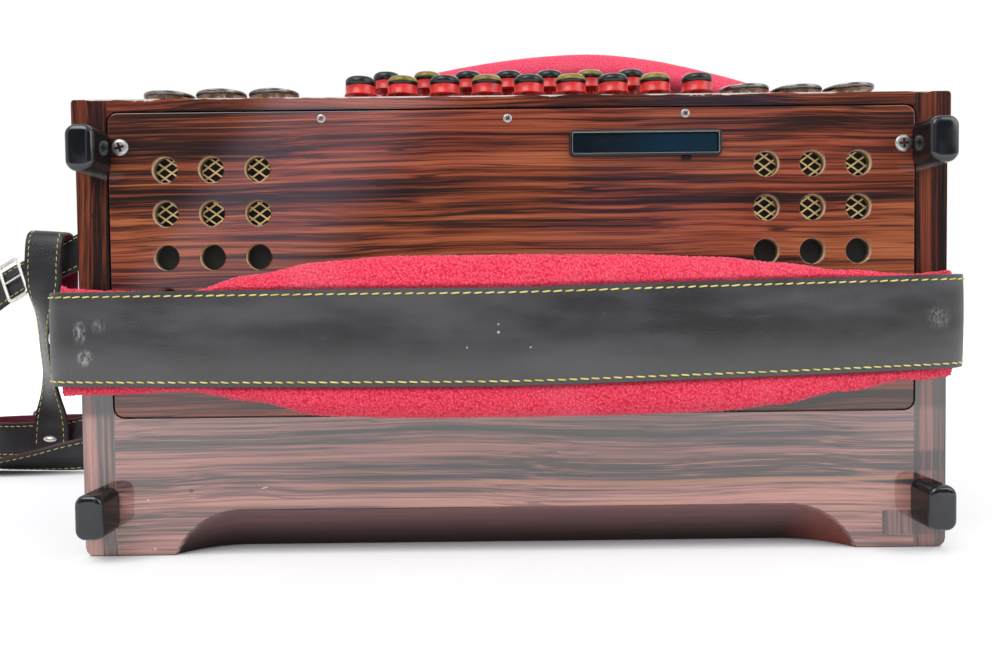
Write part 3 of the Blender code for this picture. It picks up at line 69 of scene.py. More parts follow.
class Look:
    """A material's node tree, with short ways to add nodes to it."""

    def __init__(self, name, tree=None):
        if tree is None:
            self.material = bpy.data.materials.new(name)
            self.material.use_nodes = True
            tree = self.material.node_tree
            self.shader = tree.nodes["Principled BSDF"]
        self.tree = tree
        self.place = self.add("ShaderNodeTexCoord").outputs["Object"]

    def add(self, kind, **settings):
        node = self.tree.nodes.new(kind)
        for key, value in settings.items():
            setattr(node, key, value)
        return node

    def feed(self, socket, value):
        if isinstance(value, bpy.types.NodeSocket):
            self.tree.links.new(value, socket)
        else:
            socket.default_value = value

    def math(self, operation, a, b=0.0, clamp=False):
        node = self.add("ShaderNodeMath", operation=operation, use_clamp=clamp)
        self.feed(node.inputs[0], a)
        self.feed(node.inputs[1], b)
        return node.outputs[0]

    def times(self, first, *others):
        for other in others:
            first = self.math("MULTIPLY", first, other)
        return first

    def plus(self, first, *others):
        for other in others:
            first = self.math("ADD", first, other)
        return first

    def minus(self, a, b):
        return self.math("SUBTRACT", a, b)

    def over(self, a, b):
        return self.math("DIVIDE", a, b)

    def size(self, a):
        return self.math("ABSOLUTE", a)

    def past(self, a, b):
        return self.math("GREATER_THAN", a, b)

    def short_of(self, a, b):
        return self.math("LESS_THAN", a, b)

    def spread(self, u, v, at_u, at_v, reach_u=1.0, reach_v=1.0):
        """The squared distance from a place on two axes, counted in reaches."""
        du = self.over(self.minus(u, at_u), reach_u)
        dv = self.over(self.minus(v, at_v), reach_v)
        return self.plus(self.times(du, du), self.times(dv, dv))

    def scaled(self, x, y, z, shift=(0.0, 0.0, 0.0), source=None):
        node = self.add("ShaderNodeMapping")
        self.feed(node.inputs["Vector"], source or self.place)
        node.inputs["Scale"].default_value = (x, y, z)
        node.inputs["Location"].default_value = shift
        return node.outputs[0]

    def axes(self, source=None):
        node = self.add("ShaderNodeSeparateXYZ")
        self.feed(node.inputs[0], source or self.place)
        return node.outputs

    def noise(self, vector, scale, detail, roughness=0.5, distortion=0.0):
        node = self.add("ShaderNodeTexNoise")
        self.feed(node.inputs["Vector"], vector)
        node.inputs["Scale"].default_value = scale
        node.inputs["Detail"].default_value = detail
        node.inputs["Roughness"].default_value = roughness
        node.inputs["Distortion"].default_value = distortion
        return node.outputs[0]

    def cells(self, scale):
        node = self.add("ShaderNodeTexVoronoi")
        self.feed(node.inputs["Vector"], self.place)
        node.inputs["Scale"].default_value = scale
        return node.outputs["Distance"]

    def step(self, value, low, high):
        """0 below low, 1 above high, and smooth between. low may be the larger."""
        node = self.add("ShaderNodeMapRange", interpolation_type="SMOOTHSTEP")
        self.feed(node.inputs["Value"], value)
        node.inputs["From Min"].default_value = low
        node.inputs["From Max"].default_value = high
        return node.outputs[0]

    def ramp(self, value, *stops):
        node = self.add("ShaderNodeValToRGB")
        self.feed(node.inputs[0], value)
        marks = node.color_ramp.elements
        while len(marks) < len(stops):
            marks.new(0.5)
        for mark, (at, colour) in zip(marks, stops):
            mark.position = at
            mark.color = (*colour, 1.0)
        return node.outputs[0]

    def greys(self, value, low, first, high, last):
        return self.ramp(value, (low, (first,) * 3), (high, (last,) * 3))

    def mix(self, share, a, b, blend="MIX"):
        node = self.add("ShaderNodeMix", data_type="RGBA", blend_type=blend)
        self.feed(node.inputs[0], share)
        for socket, value in ((node.inputs[6], a), (node.inputs[7], b)):
            self.feed(socket, (*value, 1.0) if isinstance(value, tuple) else value)
        return node.outputs[2]

    def tinted(self, tone, colour):
        return self.mix(1.0, tone, colour, "MULTIPLY")

    def bump(self, height, distance, strength):
        node = self.add("ShaderNodeBump")
        node.inputs["Strength"].default_value = strength
        node.inputs["Distance"].default_value = distance
        self.feed(node.inputs["Height"], height)
        return node.outputs[0]

    def finish(self, **sockets):
        """Sets the shader's sockets, named as in Blender with _ for each blank."""
        for key, value in sockets.items():
            socket = self.shader.inputs[key.replace("_", " ")]
            if isinstance(value, tuple) and len(value) == 3 and socket.type == "RGBA":
                value = (*value, 1.0)
            self.feed(socket, value)
        return self.material


BOARD_TOP, BOARD_BLEND = 0.0610, 0.0655
BOARD_SEAM_Z = 0.0330
SCOOP_TOP = 0.0265
SCOOP_HALF_RUN = 0.175
INLAY_X, INLAY_Z, INLAY_HALF = 0.1664, 0.0110, 0.0055
PALE_MARK = (0.72, 0.70, 0.66)
BOARD_MARKS = (
    # x, z, reach along x, reach along z, rise, colour
    (-0.1135, 0.0300, 0.0020, 0.00032, 0.22, (0.75, 0.72, 0.68)),
    (-0.1466, 0.0290, 0.0012, 0.0010, 0.0, (0.03, 0.03, 0.03)),
    (-0.1662, 0.0250, 0.0005, 0.0006, 0.0, PALE_MARK),
    (-0.1636, 0.0026, 0.0006, 0.0006, 0.0, PALE_MARK),
)


def bent_place(look, push, wide, tall, shift):
    """Object coordinates that slow noise pushes aside, so that the grain wanders."""
    node = look.add("ShaderNodeVectorMath", operation="MULTIPLY_ADD")
    look.feed(node.inputs[0], look.noise(look.scaled(wide, wide, tall, shift), 1.0, 2.0))
    node.inputs[1].default_value = push
    look.feed(node.inputs[2], look.place)
    return node.outputs[0]


def wood_grain(look, on_post, shift):
    """The figure of the wood, its streaks, hairs, veins and thin lines: along X, or along Z where on_post is 1."""
    lying = bent_place(look, (0.0, 0.008, 0.013), 6.0, 12.0, shift)
    standing = bent_place(look, (0.010, 0.008, 0.0), 12.0, 6.0, shift)

    def grain(along, across, detail=2.0, roughness=0.55):
        node = look.add("ShaderNodeMix", data_type="VECTOR")
        look.feed(node.inputs[0], on_post)
        look.feed(node.inputs[4], look.scaled(along, across, across, shift, lying))
        look.feed(node.inputs[5], look.scaled(across, across, along, shift, standing))
        return look.noise(node.outputs[1], 1.0, detail, roughness)

    streaks = grain(6.0, 600.0, 3.0, 0.66)
    hairs = grain(16.0, 2000.0)
    bands = grain(2.6, 95.0)
    contour = look.size(look.minus(grain(2.4, 210.0), 0.5))
    veins = look.times(look.step(contour, 0.024, 0.008), look.step(hairs, 0.36, 0.52))
    thin = look.size(look.minus(grain(3.4, 430.0), 0.5))
    lines = look.times(look.step(thin, 0.016, 0.006), look.step(bands, 0.60, 0.44))
    figure = look.plus(look.times(streaks, 0.50), look.times(hairs, 0.20), look.times(bands, 0.42))
    return figure, streaks, hairs, veins, lines


def red_wood(look, figure, veins, lines, on_post, shift, posts_tone):
    """The wood's own colour, darker on the posts."""
    tone = look.ramp(
        figure,
        (0.470, (0.014, 0.006, 0.004)),
        (0.515, (0.052, 0.013, 0.006)),
        (0.550, (0.150, 0.033, 0.012)),
        (0.600, (0.285, 0.070, 0.025)),
        (0.670, (0.450, 0.135, 0.052)),
    )
    tone = look.mix(look.times(veins, 0.85), tone, (0.012, 0.006, 0.005))
    tone = look.mix(look.times(lines, 0.75), tone, (0.016, 0.007, 0.006))
    hue = look.noise(look.scaled(9, 9, 16, shift), 1.0, 1.0)
    tone = look.mix(look.step(hue, 0.40, 0.64), tone, look.tinted(tone, (0.88, 0.72, 0.90)))
    return look.mix(on_post, tone, look.tinted(tone, (posts_tone, posts_tone * 0.92, posts_tone * 0.95)))


def board_wood_with_painted_reflection(look, figure, hairs, veins, inlay, posts):
    """The board below the cover, pale pinkish grey that is partly a painted reflection of the white floor, with a dark
    seam, a tan line under it, an inlay and a few marks.
    """
    x, _, z = look.axes()
    # Painted reflection: the board's pale pinkish grey stands partly for the white floor mirrored in its lacquer.
    pale = look.ramp(
        figure,
        (0.450, (0.055, 0.050, 0.050)),
        (0.500, (0.190, 0.112, 0.106)),
        (0.555, (0.400, 0.196, 0.172)),
        (0.660, (0.580, 0.300, 0.250)),
    )
    pale = look.mix(look.times(veins, 0.55), pale, (0.060, 0.056, 0.054))
    wander = look.times(look.noise(look.scaled(7, 0, 0), 1.0, 1.0), 0.010)
    above = look.minus(look.minus(z, BOARD_SEAM_Z), wander)
    run = look.step(x, -0.075, 0.010)
    seam = look.times(look.step(look.size(above), 0.0058, 0.0034), run)
    pale = look.mix(look.times(seam, look.step(hairs, 0.74, 0.46)), pale, (0.060, 0.058, 0.056))
    right_post = look.past(x, posts)
    tan = look.times(look.step(look.size(look.plus(above, 0.0068)), 0.0016, 0.0005), run)
    tan = look.times(tan, look.math("SUBTRACT", 0.65, right_post, True))
    pale = look.mix(tan, pale, (0.66, 0.33, 0.19))
    pale = look.mix(right_post, pale, look.tinted(pale, (0.52, 0.46, 0.48)))
    pale = look.mix(look.times(inlay, 0.75), pale, look.tinted(pale, (0.40, 0.46, 0.50)))
    for at_x, at_z, reach_x, reach_z, rise, colour in BOARD_MARKS:
        level = look.minus(z, look.times(look.over(look.minus(x, at_x), reach_x), rise * reach_x))
        far = look.spread(x, level, at_x, at_z, reach_x, reach_z)
        pale = look.mix(look.times(look.step(far, 1.0, 0.5), 0.75), pale, colour)
    return pale


def scooped(look, tone):
    """(share, colour) of the thigh scoop, which painted shade darkens toward its foot, and which is warmer at its right
    end.
    """
    x, y, z = look.axes()
    share = look.times(look.step(z, SCOOP_TOP + 0.002, SCOOP_TOP), look.step(y, END_Y + 0.0008, END_Y + 0.0022))
    share = look.times(share, look.short_of(y, END_Y + 0.05), look.short_of(look.size(x), SCOOP_HALF_RUN))
    # Painted shade: the scoop's colour fades to near black toward the floor.
    shade = look.ramp(
        look.step(z, 0.0, 0.026),
        (0.0, (0.06, 0.05, 0.05)), (0.35, (0.45, 0.40, 0.40)), (1.0, (1.0, 0.95, 0.95)),
    )
    scoop_with_painted_shade = look.mix(1.0, look.mix(0.75, tone, (0.350, 0.215, 0.228)), shade, "MULTIPLY")
    warm = look.times(look.step(x, 0.122, 0.150), look.step(z, 0.030, 0.012))
    return share, look.mix(look.times(warm, 0.5), scoop_with_painted_shade, (0.34, 0.085, 0.055))


def edge_wear_and_painted_highlight(look, tone):
    """Lacquer rubbed and chipped off along the front edge, a thin pale line on that edge which is partly wear and
    partly a painted highlight, and thin scratches.
    """
    _, y, z = look.axes()
    near = look.math("SQRT", look.spread(y, z, END_Y, HEIGHT))
    ragged = look.noise(look.scaled(420, 800, 800), 1.0, 3.0, 0.7)
    rubbed = look.step(look.noise(look.scaled(30, 30, 30), 1.0, 2.0), 0.54, 0.72)
    chip = look.times(rubbed, 0.0017, look.step(ragged, 0.45, 0.62))
    # The thin pale line right on the edge is partly wear and partly a painted highlight of the rounded edge; the chips
    # are wear.
    line = look.times(look.step(look.noise(look.scaled(60, 60, 60), 1.0, 2.0), 0.38, 0.60), 0.0007)
    bare = look.step(look.minus(look.plus(chip, line), near), 0.0, 0.0003)
    tone = look.mix(bare, tone, (0.74, 0.66, 0.58))
    scratch = look.step(look.noise(look.scaled(30, 30, 900, (3.0, 1.0, 2.0)), 1.0, 4.0, 0.75), 0.765, 0.80)
    return look.mix(look.times(scratch, 0.25), tone, (0.62, 0.55, 0.52))


def rosewood(name, shift=(0.0, 0.0, 0.0), board=0.0, posts=0.1805, posts_tone=0.62, coat_ior=1.85):
    """Lacquered rosewood: grain along X, and along Z outside the posts' joints. board pales the lower board, partly as
    a painted reflection of the white floor.
    """
    look = Look(name)
    x, y, z = look.axes()
    on_post = look.past(look.size(x), posts)
    if board:
        inlay = look.times(look.past(x, INLAY_X), look.short_of(look.size(look.minus(z, INLAY_Z)), INLAY_HALF))
        on_post = look.math("MAXIMUM", on_post, inlay)
    figure, streaks, hairs, veins, lines = wood_grain(look, on_post, shift)
    tone = red_wood(look, figure, veins, lines, on_post, shift, posts_tone)
    coat = 1.0
    if board:
        pale = board_wood_with_painted_reflection(look, figure, hairs, veins, inlay, posts)
        # The lower board takes the pale colour, which is partly a painted reflection.
        low = look.times(look.step(z, BOARD_BLEND, BOARD_TOP), look.step(y, END_Y + 0.004, END_Y + 0.002))
        tone = look.mix(look.times(low, board), tone, pale)
        hollow, scoop_with_painted_shade = scooped(look, tone)
        tone = look.mix(hollow, tone, scoop_with_painted_shade)
        coat = look.minus(1.0, look.times(hollow, 0.85))
    return look.finish(
        Base_Color=edge_wear_and_painted_highlight(look, tone),
        Roughness=look.greys(streaks, 0.3, 0.50, 0.7, 0.38),
        Specular_IOR_Level=0.2,
        Coat_Weight=coat,
        Coat_Roughness=0.05,
        Coat_IOR=coat_ior,
        Normal=look.bump(streaks, 0.00010, 0.30),
    )


def bare_wood(name):
    look = Look(name)
    grain = look.noise(look.scaled(60, 900, 900), 1.0, 2.0, 0.6)
    tone = look.ramp(grain, (0.3, (0.62, 0.40, 0.20)), (0.7, (0.90, 0.69, 0.43)))
    y = look.axes()[1]
    # Painted shade: the walls of the cover's holes turn near black from about 3 mm behind the face.
    hole = look.times(look.short_of(y, END_Y + 0.0062), look.step(y, END_Y + 0.0022, END_Y + 0.0034))
    tone = look.mix(look.times(hole, 0.85), tone, (0.03, 0.02, 0.015))
    return look.finish(Base_Color=tone, Roughness=0.62, Normal=look.bump(grain, 0.0001, 0.5))


def lighter(colour, factor, lift=0.0):
    return tuple(min(1.0, factor * c + lift) for c in colour)


def leather(name, colour, pale, grain, roughness):
    look = Look(name)
    pebbles = look.cells(grain)
    creases = look.noise(look.scaled(120, 120, 300), 1.0, 4.0, 0.6)
    blotches = look.noise(look.place, 28.0, 4.0, 0.6)
    rubbed = look.noise(look.scaled(9, 9, 34), 1.0, 3.0, 0.6)
    tone = look.mix(look.step(blotches, 0.40, 0.70), colour, pale)
    tone = look.mix(look.times(look.step(rubbed, 0.44, 0.72), 0.8), tone, lighter(pale, 2.6))
    tone = look.mix(look.times(look.step(creases, 0.60, 0.74), 0.35), tone, lighter(pale, 1.9, 0.01))
    height = look.plus(pebbles, look.times(creases, 0.6))
    shine = look.greys(blotches, 0.35, roughness - 0.08, 0.75, roughness + 0.10)
    return look.finish(
        Base_Color=tone, Roughness=shine, Specular_IOR_Level=0.4, Normal=look.bump(height, 0.00022, 0.55),
    )


def scuffs_and_painted_light(material, marks):
    """Pale scuffs and specks on a leather's face, and painted light that makes the face paler toward its lower edge."""
    look = Look(None, material.node_tree)
    look.shader = look.tree.nodes["Principled BSDF"]
    socket = look.shader.inputs["Base Color"]
    tone = socket.links[0].from_socket
    x, _, z = look.axes()
    # Painted light: the face grows paler toward its lower edge, where the strap bulges.
    tone = look.mix(look.times(look.step(z, 0.103, 0.084), 0.7), tone, (0.100, 0.100, 0.102))
    hatch = look.noise(look.scaled(600, 200, 300), 1.0, 4.0, 0.75)
    for at_x, at_z, reach_x, reach_z, strength in marks:
        away = look.spread(x, z, at_x, at_z, reach_x, reach_z)
        broken = look.step(hatch, 0.42, 0.66) if strength < 0.8 else 1.0
        tone = look.mix(look.times(look.step(away, 1.0, 0.0), broken, strength), tone, (0.62, 0.62, 0.61))
    look.feed(socket, tone)
    return material


def boucle(name, colour, dark, light, size, depth):
    look = Look(name)
    loops = look.cells(size)
    curls = look.noise(look.place, size * 1.7, 3.0, 0.6)
    pits = look.plus(look.times(loops, 0.9), look.times(curls, 0.55))
    # Painted highlight and shade: the tops of the curls are lighter and the pits between them darker.
    tone = look.ramp(pits, (0.32, light), (0.50, colour), (0.68, colour), (0.98, dark))
    patches = look.noise(look.place, 35.0, 3.0)
    tone = look.mix(look.times(look.step(patches, 0.5, 0.75), 0.10), tone, light)
    height = look.minus(1.0, pits)
    return look.finish(
        Base_Color=tone,
        Roughness=0.92,
        Specular_IOR_Level=0.15,
        Sheen_Weight=0.5,
        Sheen_Roughness=0.5,
        Sheen_Tint=(1.0, 0.55, 0.62),
        Normal=look.bump(height, depth, 0.7),
    )


def gloss_black(name, colour, roughness, scratched, teal_reflection_from=None):
    look = Look(name)
    lines = look.noise(look.scaled(300, 300, 90), 1.0, 5.0, 0.75)
    smears = look.noise(look.place, 110.0, 3.0, 0.6)
    tone = look.mix(look.times(look.step(lines, 0.66, 0.78), scratched), colour, (0.20, 0.21, 0.22))
    # Painted reflection: a teal tint that grows along x over the given span.
    if teal_reflection_from:
        tone = look.mix(look.step(look.axes()[0], *teal_reflection_from), tone, (0.003, 0.021, 0.035))
    shine = look.greys(smears, 0.35, roughness, 0.75, roughness + 0.16)
    return look.finish(Base_Color=tone, Roughness=shine, Specular_IOR_Level=0.75, Normal=look.bump(lines, 0.00006, 0.3))


def metal(name, colour, roughness, tarnish, spots, grain=240.0, metallic=1.0):
    look = Look(name)
    blotches = look.noise(look.place, grain, 4.0, 0.65)
    brushed = look.noise(look.scaled(900, 900, 120), 1.0, 2.0)
    tone = look.mix(look.times(look.step(blotches, 0.45, 0.72), spots), colour, tarnish)
    shine = look.greys(blotches, 0.35, roughness, 0.75, roughness + 0.18)
    return look.finish(Base_Color=tone, Metallic=metallic, Roughness=shine, Normal=look.bump(brushed, 0.00004, 0.25))


def plastic(name, colour, dark, roughness, coat):
    look = Look(name)
    flow = look.noise(look.place, 160.0, 3.0, 0.55)
    tone = look.mix(look.step(flow, 0.42, 0.72), colour, dark)
    shine = look.greys(flow, 0.3, roughness, 0.8, roughness + 0.12)
    return look.finish(
        Base_Color=tone, Roughness=shine, Coat_Weight=coat, Coat_Roughness=0.12, Normal=look.bump(flow, 0.0001, 0.2),
    )


def pearl(name):
    look = Look(name)
    swirl = look.noise(look.place, 130.0, 3.0, 0.5, 1.6)
    tone = look.ramp(
        swirl,
        (0.30, (0.62, 0.60, 0.56)), (0.50, (0.86, 0.85, 0.80)), (0.66, (0.74, 0.78, 0.80)), (0.8, (0.90, 0.82, 0.80)),
    )
    return look.finish(
        Base_Color=tone, Roughness=0.22, Coat_Weight=0.6, Coat_Roughness=0.06, Normal=look.bump(swirl, 0.00008, 0.2),
    )


def cloth(name, colour, dark, threads=1500.0, sheen=0.2):
    look = Look(name)
    weave = 1.0
    for direction in "XZ":
        node = look.add("ShaderNodeTexWave", wave_type="BANDS", bands_direction=direction)
        look.feed(node.inputs["Vector"], look.place)
        node.inputs["Scale"].default_value = threads / 6.28
        weave = look.times(weave, node.outputs["Fac"])
    fade = look.noise(look.place, 45.0, 3.0)
    tone = look.mix(look.math("ADD", look.times(weave, 0.5), look.step(fade, 0.4, 0.9), True), dark, colour)
    return look.finish(Base_Color=tone, Roughness=0.85, Sheen_Weight=sheen, Normal=look.bump(weave, 0.00015, 0.4))


STRAP_MARKS = (
    # x, z, reach along x, reach along z, strength
    (-0.1870, 0.1015, 0.0036, 0.0062, 0.55),
    (-0.1848, 0.0905, 0.0046, 0.0046, 0.55),
    (-0.1780, 0.1040, 0.0040, 0.0040, 0.25),
    (-0.0069, 0.1037, 0.0005, 0.0005, 0.95),
    (-0.0069, 0.1004, 0.0007, 0.0007, 0.95),
    (-0.0199, 0.0942, 0.0005, 0.0005, 0.90),
    (0.0063, 0.0941, 0.0005, 0.0005, 0.90),
    (0.1830, 0.1040, 0.0070, 0.0060, 0.25),
)

MATERIAL = {
    "case": rosewood("case_wood", board=0.85),
    "cover": rosewood("cover_wood", (0.31, 7.0, 3.3), posts=9.0, coat_ior=1.60),
    "treble": rosewood("treble_wood", (2.1, 3.0, 8.1), posts=0.1935, posts_tone=0.8),
    "board": rosewood("fingerboard_wood", (5.1, 1.0, 2.1), posts=9.0),
    "frame": rosewood("bellows_frame_wood", (8.3, 4.0, 1.1), posts=0.180, posts_tone=1.0),
    "bare": bare_wood("bare_wood"),
    "charcoal": scuffs_and_painted_light(
        leather("charcoal_leather", (0.020, 0.020, 0.021), (0.036, 0.036, 0.038), 1100.0, 0.42), STRAP_MARKS,
    ),
    "black_leather": leather("black_leather", (0.011, 0.011, 0.013), (0.019, 0.019, 0.022), 900.0, 0.40),
    "lining": leather("wine_lining", (0.115, 0.006, 0.018), (0.19, 0.012, 0.032), 700.0, 0.5),
    "boucle": boucle("red_boucle", (0.93, 0.062, 0.122), (0.66, 0.020, 0.052), (1.0, 0.30, 0.38), 1050.0, 0.0004),
    "plush": boucle("red_plush", (0.96, 0.105, 0.185), (0.80, 0.050, 0.110), (1.0, 0.30, 0.40), 1500.0, 0.00012),
    "black": gloss_black("black_gloss", (0.006, 0.008, 0.010), 0.12, 0.22),
    "key_black": gloss_black("air_key_black", (0.004, 0.010, 0.014), 0.08, 0.1, (0.040, 0.072)),
    "nickel": metal("nickel", (0.88, 0.86, 0.81), 0.20, (0.50, 0.45, 0.37), 0.55, metallic=0.8),
    "gunmetal": metal("gunmetal", (0.24, 0.235, 0.22), 0.22, (0.10, 0.095, 0.085), 0.5),
    "brass": metal("brass", (0.90, 0.68, 0.34), 0.26, (0.56, 0.40, 0.18), 0.5, metallic=0.7),
    "steel": metal("steel", (0.52, 0.52, 0.50), 0.34, (0.24, 0.23, 0.21), 0.6, 900.0),
    "gold": metal("gold_wire", (1.0, 0.80, 0.40), 0.45, (0.76, 0.56, 0.24), 0.3, 600.0, 0.3),
    "red": plastic("button_red", (0.74, 0.026, 0.020), (0.46, 0.012, 0.010), 0.28, 0.15),
    "cap_black": plastic("cap_black", (0.005, 0.006, 0.006), (0.012, 0.014, 0.014), 0.26, 0.0),
    "cap_olive": plastic("cap_olive", (0.250, 0.190, 0.010), (0.120, 0.092, 0.008), 0.28, 0.1),
    "pearl": pearl("pearl"),
    "thread": plastic("yellow_thread", (0.84, 0.74, 0.24), (0.60, 0.50, 0.12), 0.6, 0.0),
    "grille_cloth": cloth("grille_cloth", (0.012, 0.012, 0.011), (0.002, 0.002, 0.002)),
    "backing": cloth("backing_felt", (0.028, 0.034, 0.031), (0.018, 0.022, 0.020), 900.0),
    "bellows": cloth("bellows_cloth", (0.26, 0.014, 0.030), (0.10, 0.006, 0.014), 1300.0, 0.4),
    "tape": leather("bellows_tape", (0.020, 0.019, 0.020), (0.040, 0.038, 0.038), 1400.0, 0.5),
    "felt": cloth("felt", (0.10, 0.10, 0.10), (0.05, 0.05, 0.05), 2200.0),
}


# Meshes

def piece(name, form, body, looks, replaces=(), angle=40.0):
    """A new object from a bmesh, riding on a body."""
    mesh = bpy.data.meshes.new(name)
    bmesh.ops.recalc_face_normals(form, faces=form.faces)
    form.to_mesh(mesh)
    form.free()
    for look in looks:
        mesh.materials.append(MATERIAL[look])
    obj = bpy.data.objects.new(name, mesh)
    bpy.context.scene.collection.objects.link(obj)
    mesh.shade_smooth()
    mesh.set_sharp_from_angle(angle=math.radians(angle))
    if body:
        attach(obj, body)
    if replaces:
        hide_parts(*replaces)
    return obj


def turns(count):
    """The angles of a full turn in equal steps."""
    return [math.tau * k / count for k in range(count)]


def polar(radius, angle, height=0.0):
    return Vector((radius * math.cos(angle), radius * math.sin(angle), height))


def loft(form, rings, closed=False, look_of=None):
    """Faces between rings of equally many points. look_of gives a strip's material from its place in the ring."""
    rows = [[form.verts.new(p) for p in ring] for ring in rings]
    count = len(rows[0])
    for a, b in zip(rows, rows[1:] + rows[:1] if closed else rows[1:]):
        for i in range(count):
            j = (i + 1) % count
            face = form.faces.new((a[i], a[j], b[j], b[i]))
            if look_of:
                face.material_index = look_of(i)
    if not closed:
        form.faces.new(rows[0][::-1])
        form.faces.new(rows[-1])
    return rows


def turned(form, profile, place, segments):
    """Turns (radius, height, material) points round the Z axis of place, a matrix. A radius of 0 closes an end."""
    rows = []
    for radius, height, *_ in profile:
        if radius == 0.0:
            rows.append([form.verts.new(place @ Vector((0.0, 0.0, height)))])
            continue
        rows.append([form.verts.new(place @ polar(radius, a, height)) for a in turns(segments)])
    for index, (a, b) in enumerate(zip(rows, rows[1:])):
        tone = profile[index][2] if len(profile[index]) > 2 else 0
        for k in range(segments):
            m = (k + 1) % segments
            corners = [a[k % len(a)], a[m % len(a)], b[m % len(b)], b[k % len(b)]]
            corners = [v for i, v in enumerate(corners) if v not in corners[:i]]
            form.faces.new(corners).material_index = tone


def outline(half_w, half_h, radius, steps):
    """A rounded rectangle round the origin, as (u, v) points."""
    points = []
    for cu, cv, start in ((1, 1, 0), (-1, 1, 90), (-1, -1, 180), (1, -1, 270)):
        for k in range(steps + 1):
            a = math.radians(start + 90 * k / steps)
            u, v = cu * (half_w - radius), cv * (half_h - radius)
            points.append((u + radius * math.cos(a), v + radius * math.sin(a)))
    return points


def rounded_block(form, half_w, half_h, radius, place, levels, steps):
    """Lofts an upright block from (inset, height) levels of a rounded rectangle, in place's XY plane."""
    rings = []
    for inset, height in levels:
        ring = outline(half_w - inset, half_h - inset, max(radius - inset, 0.0002), steps)
        rings.append([place @ Vector((u, v, height)) for u, v in ring])
    loft(form, rings)


def smooth(rows, per_span):
    """Rows of numbers read along a Catmull-Rom curve through them."""
    last = len(rows) - 1
    found = []
    for i in range(last):
        a, b, c, d = (rows[max(0, min(last, i + k))] for k in (-1, 0, 1, 2))
        for step in range(per_span):
            t = step / per_span
            found.append([
                0.5 * (2 * q + (r - p) * t + (2 * p - 5 * q + 4 * r - s) * t * t + (3 * q - p - 3 * r + s) * t**3)
                for p, q, r, s in zip(a, b, c, d)
            ])
    found.append(list(rows[-1]))
    return found


def strap_frames(samples):
    """(middle, outward, sideways, width) along a strap, from rows of place, outward direction and width."""
    middles = [Vector(row[:3]) for row in samples]
    last = len(samples) - 1
    frames = []
    for i, row in enumerate(samples):
        along = (middles[min(i + 1, last)] - middles[max(i - 1, 0)]).normalized()
        sideways = along.cross(Vector(row[3:6])).normalized()
        frames.append((middles[i], sideways.cross(along), sideways, row[6]))
    return frames


def strap(form, frames, thickness, lining, crown, steps, taper=0.0):
    """A strap with rounded edges. lining is the inner layer's share of the thickness, as material 1."""
    rings = []
    half = thickness / 2
    split = -half + lining * thickness
    last = len(frames) - 1
    for i, (middle, outward, sideways, width) in enumerate(frames):
        end = min(i, last - i)
        w = width / 2
        if taper and end < 3:
            w -= taper * (3 - end) ** 2 / 9
        edge = min(0.0010, half * 0.8)
        top = [(u * (w - edge), half - crown * abs(u) ** 3) for u in (1 - 2 * k / steps for k in range(steps + 1))]
        section = [(w, half * 0.30), (w - edge * 0.35, half * 0.78)] + top
        section += [(-w + edge * 0.35, half * 0.78), (-w, half * 0.30)]
        section += [(-w, split), (-w + edge * 0.3, split - 0.15 * half), (-w, -half * 0.62), (-w + edge, -half)]
        section += [(w - edge, -half), (w, -half * 0.62), (w - edge * 0.3, split - 0.15 * half), (w, split)]
        rings.append([middle + sideways * u + outward * v for u, v in section])
    inner_from = steps + 6
    loft(form, rings, look_of=lambda k: 1 if lining and k >= inner_from and k < inner_from + 6 else 0)


STITCH_LEAN = 0.10
TRIM_SINK = 0.0003
STITCH_SHAPE = ((-0.5, 0.35, -0.5), (-0.36, 0.9, 0.15), (0.0, 1.0, 0.45), (0.36, 0.9, 0.15), (0.5, 0.35, -0.5))


def make_stitches(name, body, frames, thickness, inset, pitch=0.0046, length=0.0034, radius=0.00030, skip=0.006):
    """Thread dashes along both edges of a strap's outer face, as small rods sunk half into it."""
    form = bmesh.new()
    height = (thickness - TRIM_SINK) / 2
    for side in (-1, 1):
        points = [m + s * side * (w / 2 - inset) + o * height for m, o, s, w in frames]
        total = 0.0
        lengths = [0.0]
        for a, b in zip(points, points[1:]):
            total += (b - a).length
            lengths.append(total)
        at = skip + pitch / 2
        k = 0
        while at < total - skip - pitch / 2:
            while lengths[k + 1] < at:
                k += 1
            t = (at - lengths[k]) / (lengths[k + 1] - lengths[k])
            centre = points[k].lerp(points[k + 1], t)
            along = (points[k + 1] - points[k]).normalized()
            outward = frames[k][1]
            across = along.cross(outward).normalized()
            run = (along + across * STITCH_LEAN * side).normalized()
            size = length * DICE.uniform(0.88, 1.06)
            rings = []
            for share, fat, rise in STITCH_SHAPE:
                spot = centre + run * size * share + outward * radius * rise
                rings.append([
                    spot + (across * math.cos(a) + outward * math.sin(a)) * radius * fat for a in turns(6)
                ])
            loft(form, rings)
            at += pitch * DICE.uniform(0.97, 1.03)
    piece(name, form, body, ("thread",), (), 80)


def add_bar(form, a, b, radius, sides, up, flat=1.0):
    """A rod from a to b, flattened along up by flat."""
    a, b = Vector(a), Vector(b)
    along = (b - a).normalized()
    across = along.cross(Vector(up)).normalized()
    other = across.cross(along)
    angles = [2 * math.pi * (k + 0.5) / sides for k in range(sides)]
    rings = [[p + across * math.cos(t) * radius + other * math.sin(t) * radius * flat for t in angles] for p in (a, b)]
    loft(form, rings)


def facing(x, y, z):
    """A matrix whose Z axis points out of the bass end, at a place."""
    return Matrix.Translation((x, y, z)) @ Matrix.Rotation(math.pi / 2, 4, "X")


def settle(obj):
    """Applies an object's modifiers to its mesh."""
    depsgraph = bpy.context.evaluated_depsgraph_get()
    mesh = bpy.data.meshes.new_from_object(obj.evaluated_get(depsgraph))
    obj.modifiers.clear()
    obj.data = mesh


FILL_FRAMES = 20


